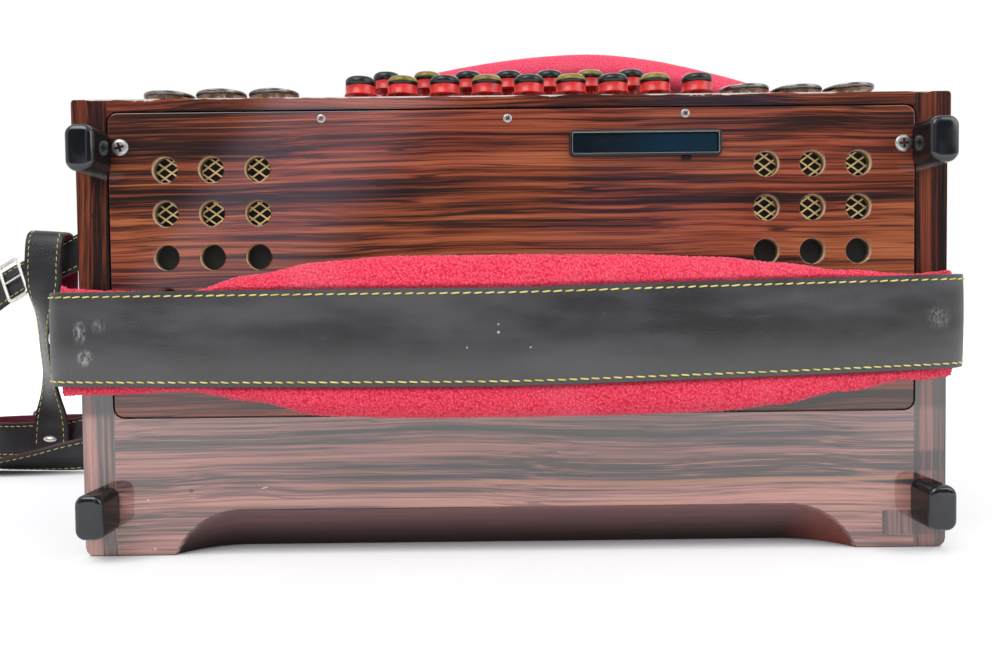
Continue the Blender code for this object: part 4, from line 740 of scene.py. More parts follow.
def puff(obj, pressure, cap):
    """Fills a pad like a cushion, as cloth under pressure whose points move no further than cap."""
    start = [v.co.copy() for v in obj.data.vertices]
    filled = obj.modifiers.new("filled", "CLOTH")
    filled.settings.quality = 4
    filled.settings.use_pressure = True
    filled.settings.uniform_pressure_force = pressure
    filled.settings.effector_weights.gravity = 0.0
    scene = bpy.context.scene
    for step in range(1, FILL_FRAMES + 1):
        scene.frame_set(step)
    depsgraph = bpy.context.evaluated_depsgraph_get()
    swollen = [v.co.copy() for v in obj.evaluated_get(depsgraph).data.vertices]
    obj.modifiers.clear()
    scene.frame_set(1)
    for vertex, a, b in zip(obj.data.vertices, start, swollen):
        move = b - a
        vertex.co = a + move * min(1.0, cap / max(move.length, 1e-9))
    smoother = obj.modifiers.new("finer", "SUBSURF")
    smoother.levels = smoother.render_levels = 2
    settle(obj)
    obj.data.shade_smooth()


def dress(names, *looks):
    """Gives CAD nodes their materials."""
    for name in names:
        obj = NODES[name]
        for index, look in enumerate(looks):
            if index < len(obj.material_slots):
                obj.material_slots[index].link = "OBJECT"
                obj.material_slots[index].material = MATERIAL[look]


def soften(names, width, segments=2):
    """Rounds the sharp edges of CAD nodes."""
    for name in names:
        bevel = NODES[name].modifiers.new("edges", "BEVEL")
        bevel.width = width
        bevel.segments = segments
        bevel.limit_method = "ANGLE"
        bevel.angle_limit = math.radians(40.0)


# Camera

CAMERA_PLACE = (-0.0071, -0.63816, 0.11232)
CAMERA_TURN = (0.130, 1.908, -0.6235)  # degrees to the right, down and about its own axis
CAMERA_LENS = 31.654


def place_camera():
    """The photograph's camera, found from the instrument's corners."""
    yaw, pitch, roll = (math.radians(a) for a in CAMERA_TURN)
    ahead = Vector((math.sin(yaw) * math.cos(pitch), math.cos(yaw) * math.cos(pitch), -math.sin(pitch)))
    right = ahead.cross(Vector((0, 0, 1))).normalized()
    up = right.cross(ahead)
    across = right * math.cos(roll) + up * math.sin(roll)
    upright = up * math.cos(roll) - right * math.sin(roll)
    camera = bpy.data.objects.new("camera", bpy.data.cameras.new("camera"))
    camera.data.lens = CAMERA_LENS
    camera.data.sensor_width = 36.0
    camera.data.clip_start = 0.01
    axes = Matrix((across, upright, -ahead)).transposed()
    camera.matrix_world = Matrix.Translation(CAMERA_PLACE) @ axes.to_4x4()
    bpy.context.scene.collection.objects.link(camera)
    bpy.context.scene.camera = camera


# Bass end

COVER_HALF_WIDTH = 0.1805
COVER_LOW, COVER_HIGH = 0.0625, 0.199
COVER_THICKNESS = 0.006
COVER_EDGE = 0.0005
HOLE_RADIUS = 0.0057
HOLE_X = [side * (0.1140 + 0.0207 * k) for side in (-1, 1) for k in range(3)]
HOLE_Z = [0.1735 - 0.0196 * k for k in range(4)]
AIR_X, AIR_Z = 0.0595, 0.183


def make_cover():
    """The end panel with its round holes, cut from one outline, with bare wood inside the holes."""
    curve = bpy.data.curves.new("cover_outline", "CURVE")
    curve.dimensions = "2D"
    curve.fill_mode = "BOTH"
    curve.extrude = COVER_THICKNESS / 2 - COVER_EDGE
    curve.bevel_depth = COVER_EDGE
    curve.bevel_resolution = 2
    curve.offset = -COVER_EDGE
    middle = (COVER_LOW + COVER_HIGH) / 2
    loops = [[(u, v + middle) for u, v in outline(COVER_HALF_WIDTH, (COVER_HIGH - COVER_LOW) / 2, 0.0045, 10)]]
    loops.append([(u + AIR_X, v + AIR_Z) for u, v in outline(0.0325, 0.0045, 0.001, 3)][::-1])
    for x in HOLE_X:
        for z in HOLE_Z:
            loops.append([(x + p.x, z + p.y) for p in (polar(HOLE_RADIUS, -a) for a in turns(40))])
    for loop in loops:
        spline = curve.splines.new("POLY")
        spline.points.add(len(loop) - 1)
        for point, (u, v) in zip(spline.points, loop):
            point.co = (u, v, 0.0, 1.0)
        spline.use_cyclic_u = True
    helper = bpy.data.objects.new("cover_outline", curve)
    bpy.context.scene.collection.objects.link(helper)
    depsgraph = bpy.context.evaluated_depsgraph_get()
    form = bmesh.new()
    form.from_mesh(helper.evaluated_get(depsgraph).to_mesh())
    bpy.data.objects.remove(helper)
    bmesh.ops.transform(form, matrix=facing(0, END_Y + COVER_THICKNESS / 2, 0), verts=form.verts)
    bmesh.ops.remove_doubles(form, verts=form.verts, dist=1e-6)
    for face in form.faces:
        c = face.calc_center_median()
        inside = abs(c.x) < COVER_HALF_WIDTH - 0.003 and COVER_LOW + 0.003 < c.z < COVER_HIGH - 0.003
        face.material_index = 1 if inside and abs(face.normal.y) < 0.6 else 0
    piece("end_cover_panel", form, "bass_side", ("cover", "bare"), ("bass_end_cover",), 8)


MESH_NEAR, MESH_FAR = 0.1038, 0.1656
MESH_LOW, MESH_HIGH = 0.1436, 0.1837
MESH_Y = END_Y + COVER_THICKNESS + GAP + 0.0005
DIAMOND_WIDE, DIAMOND_TALL = 0.0066, 0.0047


def strand_span(u, v, rise):
    """The first and the last step at which a strand that slants through (u, v) is inside the mesh's edges."""
    cuts = []
    for start, run, low, high in ((u, DIAMOND_WIDE, MESH_NEAR, MESH_FAR), (v, rise, MESH_LOW, MESH_HIGH)):
        cuts.append(sorted(((low - start) / run, (high - start) / run)))
    first, last = max(c[0] for c in cuts), min(c[1] for c in cuts)
    return (first, last) if last > first + 0.2 else None


def make_mesh(name, side):
    """Expanded metal behind the two upper rows of holes: diamonds of flat gold strands."""
    form = bmesh.new()
    u, middle = (MESH_NEAR + MESH_FAR) / 2, (MESH_LOW + MESH_HIGH) / 2
    reach = int((MESH_FAR - MESH_NEAR) / DIAMOND_WIDE + (MESH_HIGH - MESH_LOW) / DIAMOND_TALL) + 2
    for sign in (-1, 1):
        y, rise = MESH_Y - sign * 0.00015, sign * DIAMOND_TALL
        for k in range(-reach, reach + 1):
            v = middle + k * DIAMOND_TALL
            span = strand_span(u, v, rise)
            if not span:
                continue
            first, last = span
            parts = max(1, round((last - first) * 2))
            for j in range(parts):
                wave = 0.00018 * (1 if (j + k) % 2 else -1)
                ends = []
                for at, bend in ((j, wave), (j + 1, -wave)):
                    t = first + (last - first) * at / parts
                    ends.append((side * (u + DIAMOND_WIDE * t), y + bend, v + rise * t))
                add_bar(form, *ends, 0.00052, 4, (0, 1, 0), 0.6)
    near, far = side * MESH_NEAR, side * MESH_FAR
    for a, b in (
        ((near, MESH_LOW), (far, MESH_LOW)), ((near, MESH_HIGH), (far, MESH_HIGH)),
        ((near, MESH_LOW), (near, MESH_HIGH)), ((far, MESH_LOW), (far, MESH_HIGH)),
    ):
        add_bar(form, (a[0], MESH_Y, a[1]), (b[0], MESH_Y, b[1]), 0.0004, 4, (0, 1, 0), 0.8)
    piece(f"gold_mesh_{name}", form, "bass_side", ("gold",), (f"bass_mesh_{name}",), 60)
    make_backings(name, side * u)


def make_backings(name, x):
    """Dark cloth behind the mesh, and felt behind the two lower rows of holes."""
    half = (MESH_FAR - MESH_NEAR) / 2 + 0.0005
    for kind, look, depth, z, half_z, thick in (
        ("mesh", "grille_cloth", 0.0011, (MESH_LOW + MESH_HIGH) / 2, (MESH_HIGH - MESH_LOW) / 2, 0.0004),
        ("hole", "backing", 0.0017, 0.1246, 0.0178, 0.0016),
    ):
        form = bmesh.new()
        rounded_block(form, half, half_z, 0.002, facing(x, MESH_Y + depth, z), ((0.0, 0.0), (0.0003, thick)), 3)
        piece(f"{kind}_backing_{name}", form, "bass_side", (look,))


def add_screw(form, place, radius, dome, spin):
    """A cross-head screw: a domed head round a cross that is sunk into it."""
    segments = 32
    crown = radius * 0.62
    profile = (
        (crown, dome * 0.97, 0), (radius * 0.84, dome * 0.80, 0), (radius * 0.96, dome * 0.45, 0),
        (radius, 0.0, 0), (radius, -0.0008, 0), (0.0, -0.0008, 0),
    )
    turned(form, profile, place, segments)
    turn = place @ Matrix.Rotation(spin, 4, "Z")
    arm, slim, depth = radius * 0.60, radius * 0.15, -radius * 0.35
    star = [(arm, slim), (slim, slim), (slim, arm)]
    while len(star) < 12:
        star += [(-v, u) for u, v in star[-3:]]
    rim = [form.verts.new(place @ polar(crown, a, dome * 0.971)) for a in turns(segments)]
    top = [form.verts.new(turn @ Vector((u * 0.93, v * 0.93, dome))) for u, v in star]
    floor = [form.verts.new(turn @ Vector((u * 0.72, v * 0.72, dome + depth))) for u, v in star]
    for i in range(len(star)):
        j = (i + 1) % len(star)
        form.faces.new((top[i], top[j], floor[j], floor[i])).material_index = 1
    form.faces.new(floor[::-1]).material_index = 1
    edges = []
    for loop in (rim, top):
        for i, v in enumerate(loop):
            w = loop[(i + 1) % len(loop)]
            edges.append(form.edges.get((v, w)) or form.edges.new((v, w)))
    bmesh.ops.triangle_fill(form, edges=edges, use_beauty=True)


END_SCREWS = (
    # x, z, radius, turn of the cross
    (-0.1750, 0.1836, 0.0038, 0.3),
    (0.1752, 0.1820, 0.0038, 0.05),
    (-0.0850, 0.1955, 0.0020, 0.5),
    (-0.0018, 0.1948, 0.0020, 0.9),
    (0.0776, 0.1962, 0.0020, 0.7),
)


def make_screws():
    form = bmesh.new()
    for x, z, radius, spin in END_SCREWS:
        add_screw(form, facing(x, END_Y - 0.0001, z), radius, radius * 0.22, spin)
    piece("end_cover_screws", form, "bass_side", ("steel", "cap_black"), (), 45)


FOOT_PLACES = ((-0.1855, 0.181), (0.1855, 0.181), (-0.1855, 0.021), (0.1855, 0.021))
FOOT_LEVELS = ((0.0, 0.0), (0.0, 0.0152), (0.0003, 0.0162), (0.0008, 0.0169), (0.0015, 0.0173), (0.0030, 0.0175))


def make_feet():
    for number, (x, z) in enumerate(FOOT_PLACES, 1):
        form = bmesh.new()
        rounded_block(form, 0.0063, 0.0100, 0.0046, facing(x, END_Y - GAP, z), FOOT_LEVELS, 7)
        piece(f"end_foot_{number}", form, "bass_side", ("black",), (f"bass_foot_{number}",), 30)


TRAY_RIM = (
    (0.0, 0.0), (0.0, 0.0018), (0.0003, 0.0024), (0.0007, 0.0028), (0.0012, 0.0027), (0.00155, 0.0020), (0.0016, 0.0),
)
TRAY_LIP = ((0.00125, 0.0024), (0.00128, 0.00286), (0.00145, 0.00284), (0.00165, 0.0023), (0.00165, 0.0021))
TRAY_CATCH = ((0.0, 0.0), (0.0002, 0.0018), (0.0007, 0.0024))


def make_air_key():
    """The tray's raised rim with a bright lip and a catch under it, and the sunk key."""
    place = facing(AIR_X, END_Y - GAP, AIR_Z)

    def ringed(section):
        form = bmesh.new()
        rings = []
        for inset, height in section:
            path = outline(0.034 - inset, 0.006 - inset, 0.0022 - inset, 6)
            rings.append([place @ Vector((u, v, height)) for u, v in path])
        loft(form, rings, closed=True)
        return form

    rim = ringed(TRAY_RIM)
    rounded_block(rim, 0.0022, 0.0010, 0.0008, place @ Matrix.Translation((0.0185, -0.0066, 0.0)), TRAY_CATCH, 4)
    piece("air_key_rim", rim, "bass_side", ("black",), ("air_key_frame",), 45)
    piece("air_key_lip", ringed(TRAY_LIP), "bass_side", ("steel",), (), 45)
    dress(("air_key",), "key_black")
    soften(("air_key",), 0.0004)


BUTTON_OLIVE = {"front": (2, 4, 6, 8), "back": (2, 6)}
BUTTON_HEAD = (
    # inset from the radius, rise, 0 for the body, 1 for the cap's top and 2 for its lower ring
    (0.0005, 0.0, 0), (0.0, 0.0004, 0), (0.0, 0.0009, 0), (0.00055, 0.0017, 0), (0.0004, 0.0044, 0),
    (0.0010, 0.0047, 2), (0.0006, 0.0051, 2), (0.0004, 0.0062, 1), (0.0005, 0.0071, 1),
    (0.0010, 0.0080, 1), (0.0018, 0.0086, 1), (0.0026, 0.0088, 1), (0.0036, 0.0087, 1),
)


def make_buttons():
    """Red bodies with a black or olive cap set on them."""
    for row, count, radius in (("front", 9, 0.0074), ("back", 7, 0.0069)):
        for k in range(1, count + 1):
            name = f"bass_button_{row}_{k}"
            low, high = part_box(name)
            middle = Vector(((low.x + high.x) / 2, (low.y + high.y) / 2, 0.0))
            cap = high.z - 0.0088
            stem = ((0.0, low.z, 0), (0.0038, low.z, 0), (0.0038, HEIGHT - 0.0083, 0), (0.0030, HEIGHT - 0.0083, 0))
            head = [(radius - inset, cap + rise, look) for inset, rise, look in BUTTON_HEAD]
            profile = (*stem, (0.0030, cap, 0), *head, (0.0, cap + 0.0084, 1))
            form = bmesh.new()
            turned(form, profile, Matrix.Translation(middle), 40)
            tone = "cap_olive" if k in BUTTON_OLIVE[row] else "cap_black"
            piece(f"button_{row}_{k}", form, name, ("red", tone, "cap_black"), (name,), 38)


BELL_TILTS = (0.0, 2.0, 2.0, 1.0, 0.0, 1.5)
BELL_FLUTES = 16
BELL_PROFILE = (
    # radius, height, 0 for nickel, 1 for the dark rim and 2 for brass
    (0.0, 0.0036, 2), (0.0012, 0.0036, 2), (0.0017, 0.0033, 2), (0.0018, 0.0029, 0), (0.0045, 0.0030, 0),
    (0.0070, 0.0036, 0), (0.0090, 0.0044, 0), (0.0103, 0.0050, 0), (0.0109, 0.0052, 1), (0.0113, 0.0049, 1),
    (0.01145, 0.0043, 1), (0.0113, 0.0036, 1), (0.0108, 0.0031, 1), (0.0102, 0.0032, 1), (0.0088, 0.0034, 2),
    (0.0066, 0.0032, 0), (0.0050, 0.0026, 0), (0.0045, 0.0014, 0), (0.0047, 0.0009, 0), (0.0052, 0.0005, 0),
    (0.0052, 0.0, 0), (0.0, 0.0, 0),
)


def make_bells():
    """Spun saucers with a thick rolled rim, on a short fluted neck."""
    for number, tilt in enumerate(BELL_TILTS, 1):
        name = f"bass_bell_{number}"
        low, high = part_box(name)
        base = HEIGHT + GAP + (0.0005 if tilt else 0.0)
        middle = Vector(((low.x + high.x) / 2, (low.y + high.y) / 2, base))
        place = Matrix.Translation(middle) @ Matrix.Rotation(-math.radians(tilt), 4, "Y")
        form = bmesh.new()
        turned(form, BELL_PROFILE, place, 48)
        for a in turns(BELL_FLUTES):
            foot, top = place @ polar(0.0047, a, 0.0003), place @ polar(0.0052, a, 0.0021)
            add_bar(form, foot, top, 0.00045, 6, place.to_3x3() @ polar(1.0, a))
        piece(f"bell_{number}", form, "bass_side", ("nickel", "gunmetal", "brass"), (name,), 35)


# Hand strap

STRAP_THICKNESS = 0.003
STRAP_WIDTH = 0.041
STRAP_Z = 0.0985
# How far the strap's middle is inward from its side and out from the end face.
STAND_OFFS = ((0.0043, 0.0115), (0.0143, 0.0155), (0.0390, 0.0195), (0.0840, 0.0255), (0.1430, 0.0308))
PAD_SECTIONS = (
    # share of the half run, lowest z, highest z, thickness
    (-1.000, 0.0735, 0.1220, 0.0026), (-0.960, 0.0738, 0.1208, 0.0030), (-0.870, 0.0738, 0.1203, 0.0038),
    (-0.700, 0.0742, 0.1200, 0.0060), (-0.560, 0.0700, 0.1270, 0.0085), (-0.410, 0.0635, 0.1322, 0.0110),
    (-0.250, 0.0626, 0.1342, 0.0122), (0.000, 0.0624, 0.1344, 0.0125), (0.240, 0.0629, 0.1340, 0.0122),
    (0.430, 0.0636, 0.1326, 0.0110), (0.560, 0.0660, 0.1300, 0.0085), (0.700, 0.0712, 0.1266, 0.0060),
    (0.860, 0.0762, 0.1240, 0.0038), (0.960, 0.0782, 0.1246, 0.0030), (1.000, 0.0786, 0.1248, 0.0026),
)


def strap_line():
    """(x, y) of the hand strap's middle, from its left tail round the front to its right tail."""
    half = STRAP_THICKNESS / 2
    sides = {}
    for sign, over in ((-1, 0.0108), (1, 0.0047)):
        x = HALF_WIDTH + over - half
        tail = [(sign * x, END_Y + 0.030), (sign * x, END_Y + 0.010), (sign * x, END_Y - 0.004)]
        sides[sign] = tail + [(sign * (x - inward), END_Y - out) for inward, out in STAND_OFFS]
    return sides[-1] + [(0.0, END_Y - 0.0325)] + sides[1][::-1]


def hand_strap_frames(per_span):
    rows = []
    line = strap_line()
    last = len(line) - 1
    for i, (x, y) in enumerate(line):
        along = Vector(line[min(i + 1, last)]) - Vector(line[max(i - 1, 0)])
        z = STRAP_Z + 0.004 * max(0.0, x / HALF_WIDTH)
        rows.append((x, y, z, along.y, -along.x, 0.0, STRAP_WIDTH))
    return strap_frames(smooth(rows, per_span))


def make_hand_strap():
    frames = hand_strap_frames(12)
    form = bmesh.new()
    strap(form, frames, STRAP_THICKNESS, 0.0, 0.0004, 12)
    piece("hand_strap", form, "bass_side", ("charcoal",), ("bass_strap",), 50)
    make_stitches(
        "hand_strap_stitches", "bass_side", frames, STRAP_THICKNESS, 0.0022, 0.0047, 0.0037, 0.00036, 0.004,
    )


def pad_section(share):
    for a, b in zip(PAD_SECTIONS, PAD_SECTIONS[1:]):
        if share <= b[0]:
            t = max(0.0, min(1.0, (share - a[0]) / (b[0] - a[0])))
            t = t * t * (3 - 2 * t)
            return [p + (q - p) * t for p, q in zip(a[1:], b[1:])]
    return PAD_SECTIONS[-1][1:]


def ruffle(obj, size, height):
    """Raises a pad's surface in small curls, size apart."""
    mesh = obj.data
    normals = [v.normal.copy() for v in mesh.vertices]
    for vertex, normal in zip(mesh.vertices, normals):
        spot = vertex.co / size
        near = noise.voronoi(spot)[0]
        vertex.co += normal * (0.45 - near[0] + 0.35 * noise.noise(spot * 2.3)) * height


def keep_under(obj, frames, thickness):
    """Moves a pad's points that would reach into the strap down to its inner face."""
    tree = KDTree(len(frames))
    for i, f in enumerate(frames):
        tree.insert(f[0], i)
    tree.balance()
    for vertex in obj.data.vertices:
        middle, outward, sideways, width = frames[tree.find(vertex.co)[1]]
        offset = vertex.co - middle
        across = abs(offset.dot(sideways)) - width / 2
        height = offset.dot(outward)
        room = height + thickness / 2 + GAP
        if room > 0 and across < 0.0015 and height < thickness:
            vertex.co -= outward * room * (1.0 if across < 0 else 1.0 - across / 0.0015)


def make_hand_strap_pad():
    """Follows the strap's inner face, crowned between its edges, and stops short of the strap."""
    line = smooth([(x, y, 0.0) for x, y in strap_line()], 16)
    front = [p for p in line if p[1] < END_Y - 0.0085]
    half_run = max(abs(p[0]) for p in front)
    rings = []
    last = len(front) - 1
    for i, (x, y, _) in enumerate(front):
        low, high, thick = pad_section(x / half_run)
        near, far = front[max(i - 1, 0)], front[min(i + 1, last)]
        along = Vector((far[0] - near[0], far[1] - near[1], 0.0)).normalized()
        inward = Vector((-along.y, along.x, 0.0))
        top = Vector((x, y, 0.0)) + inward * (STRAP_THICKNESS / 2 + GAP)
        middle, half = (low + high) / 2, (high - low) / 2
        closing = 1.0 if 1 < i < last - 1 else (0.90 if 0 < i < last else 0.55)
        section = []
        for a in turns(56):
            u = math.copysign(abs(math.cos(a)) ** 0.50, math.cos(a))
            v = math.copysign(abs(math.sin(a)) ** 0.70, math.sin(a))
            section.append((thick / 2 * (1 - v * closing), middle + half * u * (0.96 + 0.04 * closing)))
        rings.append([top + inward * d + Vector((0, 0, z)) for d, z in section])
    form = bmesh.new()
    loft(form, rings)
    pad = piece("hand_pad", form, "bass_side", ("boucle",), ("bass_strap_pad",), 80)
    frames = [f for f in hand_strap_frames(24) if f[0].y < END_Y - 0.005]
    puff(pad, 3.0, 0.0016)
    ruffle(pad, 0.0014, 0.00075)
    keep_under(pad, frames, STRAP_THICKNESS)


# Shoulder straps

# Each route: x, y, z of the strap's middle, the way its outer face looks, and its width.
NARROW, WIDE = 0.026, 0.060
SIDE = HALF_WIDTH + 0.0019
STRAP_1 = (
    (SIDE, -.0145, .066, 1, 0, 0, NARROW), (SIDE, -.0145, .092, 1, 0, 0, NARROW),
    (.2010, -.0170, .125, 1, 0, -.1, NARROW), (.2090, -.0240, .163, 1, 0, -.1, .034),
    (.2125, -.0330, .198, 1, 0, .3, .046), (.1985, -.0400, .2260, .6, 0, .8, .056),
    (.1680, -.0440, .2400, .3, .10, 1, WIDE), (.1200, -.0450, .2525, .2, .15, 1, WIDE),
    (.0850, -.0450, .2600, .1, .15, 1, WIDE), (.0500, -.0450, .2630, 0, .15, 1, WIDE),
    (.0050, -.0450, .2600, -.1, .15, 1, WIDE), (-.0500, -.0440, .2515, -.2, .12, 1, WIDE),
    (-.1100, -.0400, .2375, -.25, .05, 1, WIDE), (-.1650, -.0320, .2250, -.3, 0, 1, .054),
    (-.2150, -.0200, .2050, -.6, -.3, .8, .042), (-.2650, -.0090, .1755, -.4, -.8, .5, .031),
    (-.3100, -.0020, .1520, -.2, -1, .25, NARROW), (-.3360, .0000, .1405, -.1, -1, .4, NARROW),
    (-.3555, .0000, .1318, -.1, -1, .5, NARROW), (-.3870, -.0010, .1090, -.3, -1, .2, NARROW),
    (-.4030, -.0050, .0820, -.8, -.8, 0, NARROW), (-.4080, -.0130, .0540, -1, -.5, 0, NARROW),
    (-.4020, -.0240, .0290, -1, -.5, -.3, NARROW), (-.3850, -.0340, .0120, -.6, -.6, -.8, NARROW),
    (-.3550, -.0400, .0060, 0, -.35, -.95, NARROW), (-.3250, -.0420, .0080, 0, -.55, -.85, NARROW),
    (-.2950, -.0410, .0118, 0, -.85, -.55, NARROW), (-.2550, -.0370, .0165, -.2, -1, 0, NARROW),
    (-.2220, -.0260, .0260, -1, -.8, 0, NARROW), (-.2040, -.0170, .0420, -1, -.2, 0, NARROW),
    (-SIDE, -.0145, .0600, -1, 0, 0, NARROW), (-SIDE, -.0145, .0860, -1, 0, 0, NARROW),
)
STRAP_2 = (
    (SIDE, .0145, .066, 1, 0, 0, NARROW), (SIDE, .0145, .092, 1, 0, 0, NARROW),
    (.2000, .0150, .130, 1, 0, -.1, NARROW), (.2060, .0190, .170, 1, 0, -.1, .034),
    (.2070, .0270, .204, 1, 0, .4, .044), (.1880, .0350, .2280, .6, 0, .8, .052),
    (.1500, .0400, .2385, .15, 0, 1, WIDE), (.0900, .0400, .2415, 0, 0, 1, WIDE),
    (.0200, .0400, .2400, -.05, 0, 1, WIDE), (-.0500, .0400, .2370, -.05, 0, 1, WIDE),
    (-.1200, .0390, .2330, -.1, 0, 1, .058), (-.1700, .0370, .2260, -.3, 0, 1, .050),
    (-.2100, .0350, .2050, -.8, 0, .7, .042), (-.2300, .0330, .1650, -1, 0, .2, .034),
    (-.2380, .0310, .1150, -1, -.1, .1, NARROW), (-.2480, .0270, .0680, -.9, -.5, .3, NARROW),
    (-.2750, .0200, .0340, -.4, -1, .3, NARROW), (-.3150, .0150, .0185, -.05, -1, .1, NARROW),
    (-.3550, .0140, .0145, 0, -1, .05, NARROW), (-.3900, .0180, .0145, -.5, -1, 0, NARROW),
    (-.4080, .0330, .0145, -1, -.1, 0, NARROW), (-.4020, .0500, .0145, -.7, .8, 0, NARROW),
    (-.3700, .0600, .0145, -.1, 1, 0, NARROW), (-.3200, .0600, .0150, .05, 1, 0, NARROW),
    (-.2700, .0540, .0160, .2, 1, 0, NARROW), (-.2320, .0400, .0210, .7, .8, 0, NARROW),
    (-.2090, .0230, .0350, 1, .5, 0, NARROW), (-.1985, .0155, .0500, 1, .1, 0, NARROW),
    (-SIDE, .0145, .0640, 1, 0, 0, NARROW), (-SIDE, .0145, .0860, 1, 0, 0, NARROW),
)
CROSS = (
    (-.3285, .0110, .1240, .1, 1, 0), (-.3285, .0115, .1450, .1, 1, .1),
    (-.3285, .0065, .1642, .1, .7, 1), (-.3285, -.0085, .1642, .05, -.7, 1),
    (-.3285, -.0135, .1470, 0, -1, .1), (-.3285, -.0145, .1290, -.1, -1, 0),
    (-.3310, -.0110, .1120, -.6, -.9, 0), (-.3340, -.0045, .0960, -.74, -.67, 0),
    (-.3350, -.0005, .0800, -.76, -.65, 0), (-.3350, .0030, .0640, -.74, -.67, 0),
    (-.3355, .0060, .0480, -.6, -.85, 0), (-.3365, .0075, .0320, -.2, -1, .1),
    (-.3375, .0080, .0160, 0, -1, .1), (-.3380, .0080, .0030, 0, -1, .1),
)
SHOULDER_THICKNESS = 0.0026


def route_frames(route, per_span):
    rows = [(*row[:3], *Vector(row[3:6]).normalized(), row[6]) for row in route]
    return strap_frames(smooth(rows, per_span))


def add_stud(form, at, radius, thickness, stretch=1.0):
    """A domed stud on a strap's outer face, stretched along the strap."""
    middle, outward, sideways, _ = at
    axes = Matrix((outward.cross(sideways) * stretch, sideways, outward)).transposed().to_4x4()
    place = Matrix.Translation(middle + outward * (thickness - TRIM_SINK) / 2) @ axes
    dome = [(radius * out, radius * rise) for out, rise in ((0.0, 0.55), (0.45, 0.50), (0.80, 0.30), (1.0, 0.0))]
    turned(form, (*dome, (radius, -0.0004), (0.0, -0.0004)), place, 20)


def make_shoulder_straps():
    fine = 8
    # The pad runs from the first to the last of these points of its route.
    for number, route, (first, last), buckle_at in (("1", STRAP_1, (4, 13), 18), ("2", STRAP_2, (5, 11), 22)):
        frames = route_frames(route, fine)
        slim = []
        for i, (m, o, w, width) in enumerate(frames):
            inside = min(i / fine - first, last - i / fine)
            share = max(0.0, min(1.0, inside / 1.5 + 0.15))
            slim.append((m, o, w, width * (1.0 - 0.30 * share * share * (3 - 2 * share))))
        form = bmesh.new()
        strap(form, slim, SHOULDER_THICKNESS, 0.42, 0.0003, 6)
        name = f"leather_strap_{number}"
        piece(name, form, "treble_side", ("black_leather", "lining"), (f"shoulder_strap_{number}",), 50)
        make_stitches(f"{name}_stitches", "treble_side", slim, SHOULDER_THICKNESS, 0.0026)
        span = slice(first * fine, last * fine + 1)
        make_shoulder_pad(number, frames[span], slim[span])
        make_buckle(number, frames[buckle_at * fine])


def make_shoulder_pad(number, frames, slim):
    """A plush cushion under the leather, whose lips come up round the leather's edges."""
    rings = []
    last = len(frames) - 1
    for i, ((middle, outward, sideways, width), (*_, leather_width)) in enumerate(zip(frames, slim)):
        end = min(i, last - i) / 8
        share = math.sin(math.pi / 2 * min(1.0, 0.12 + 0.50 * end))
        thick = 0.0108 * share
        half = width / 2 + 0.0027 * share
        inner = leather_width / 2 + 0.0008
        lip = -GAP + (SHOULDER_THICKNESS + 2 * GAP + 0.0024) * share
        right = [
            (0.0, 0.0), (inner * 0.5, 0.0), (inner - 0.001, 0.0), (inner, lip * 0.35), (inner + 0.0006, lip * 0.85),
            (inner + (half - inner) * 0.35, lip), (inner + (half - inner) * 0.70, lip * 0.85),
            (half - 0.0008, lip * 0.2 - thick * 0.10), (half, -thick * 0.35), (half - 0.0006, -thick * 0.62),
            (half - 0.0035, -thick * 0.86), (half - 0.009, -thick * 0.96), (half * 0.4, -thick), (0.0, -thick),
        ]
        section = right + [(-u, v) for u, v in right[-2:0:-1]]
        top = middle - outward * (SHOULDER_THICKNESS / 2 + 2 * GAP)
        rings.append([top + sideways * u + outward * v for u, v in section])
    form = bmesh.new()
    loft(form, rings)
    pad = piece(f"plush_pad_{number}", form, "treble_side", ("plush",), (f"shoulder_pad_{number}",), 80)
    puff(pad, 2.0, 0.0010)
    ruffle(pad, 0.0016, 0.00022)
    keep_under(pad, slim, SHOULDER_THICKNESS)


def make_buckle(number, at):
    """A wire frame round the strap with a bar across its middle."""
    middle, outward, sideways, width = at
    along = outward.cross(sideways)
    wire = 0.0013
    centre = middle + outward * (SHOULDER_THICKNESS / 2 + GAP + 0.87 * wire)
    corners = outline(width / 2 + 0.003, 0.0075, 0.0030, 5)
    rings = []
    for i, (u, v) in enumerate(corners):
        a, b = corners[i - 1], corners[(i + 1) % len(corners)]
        run = (sideways * (b[0] - a[0]) + along * (b[1] - a[1])).normalized()
        across = run.cross(outward)
        spot = centre + sideways * u + along * v
        rings.append([spot + (across * math.cos(t) + outward * math.sin(t) * 0.85) * wire for t in turns(10)])
    form = bmesh.new()
    loft(form, rings, closed=True)
    lift = outward * 0.0006
    add_bar(form, centre - along * 0.0070 + lift, centre + along * 0.0070 + lift, 0.0008, 8, outward)
    piece(f"wire_buckle_{number}", form, "treble_side", ("nickel",), (f"strap_buckle_{number}",), 60)


def make_cross_strap():
    frames = route_frames([(*row, 0.026) for row in CROSS], 8)
    form = bmesh.new()
    strap(form, frames, SHOULDER_THICKNESS, 0.35, 0.0003, 6)
    piece("cross_strap_leather", form, "treble_side", ("black_leather", "lining"), ("cross_strap",), 50)
    make_stitches("cross_strap_stitches", "treble_side", frames, SHOULDER_THICKNESS, 0.0030, length=0.0032)
    snap = bmesh.new()
    add_stud(snap, frames[-9], 0.0052, SHOULDER_THICKNESS, 0.5)
    piece("cross_strap_snap", snap, "treble_side", ("nickel",), (), 40)


# Bellows

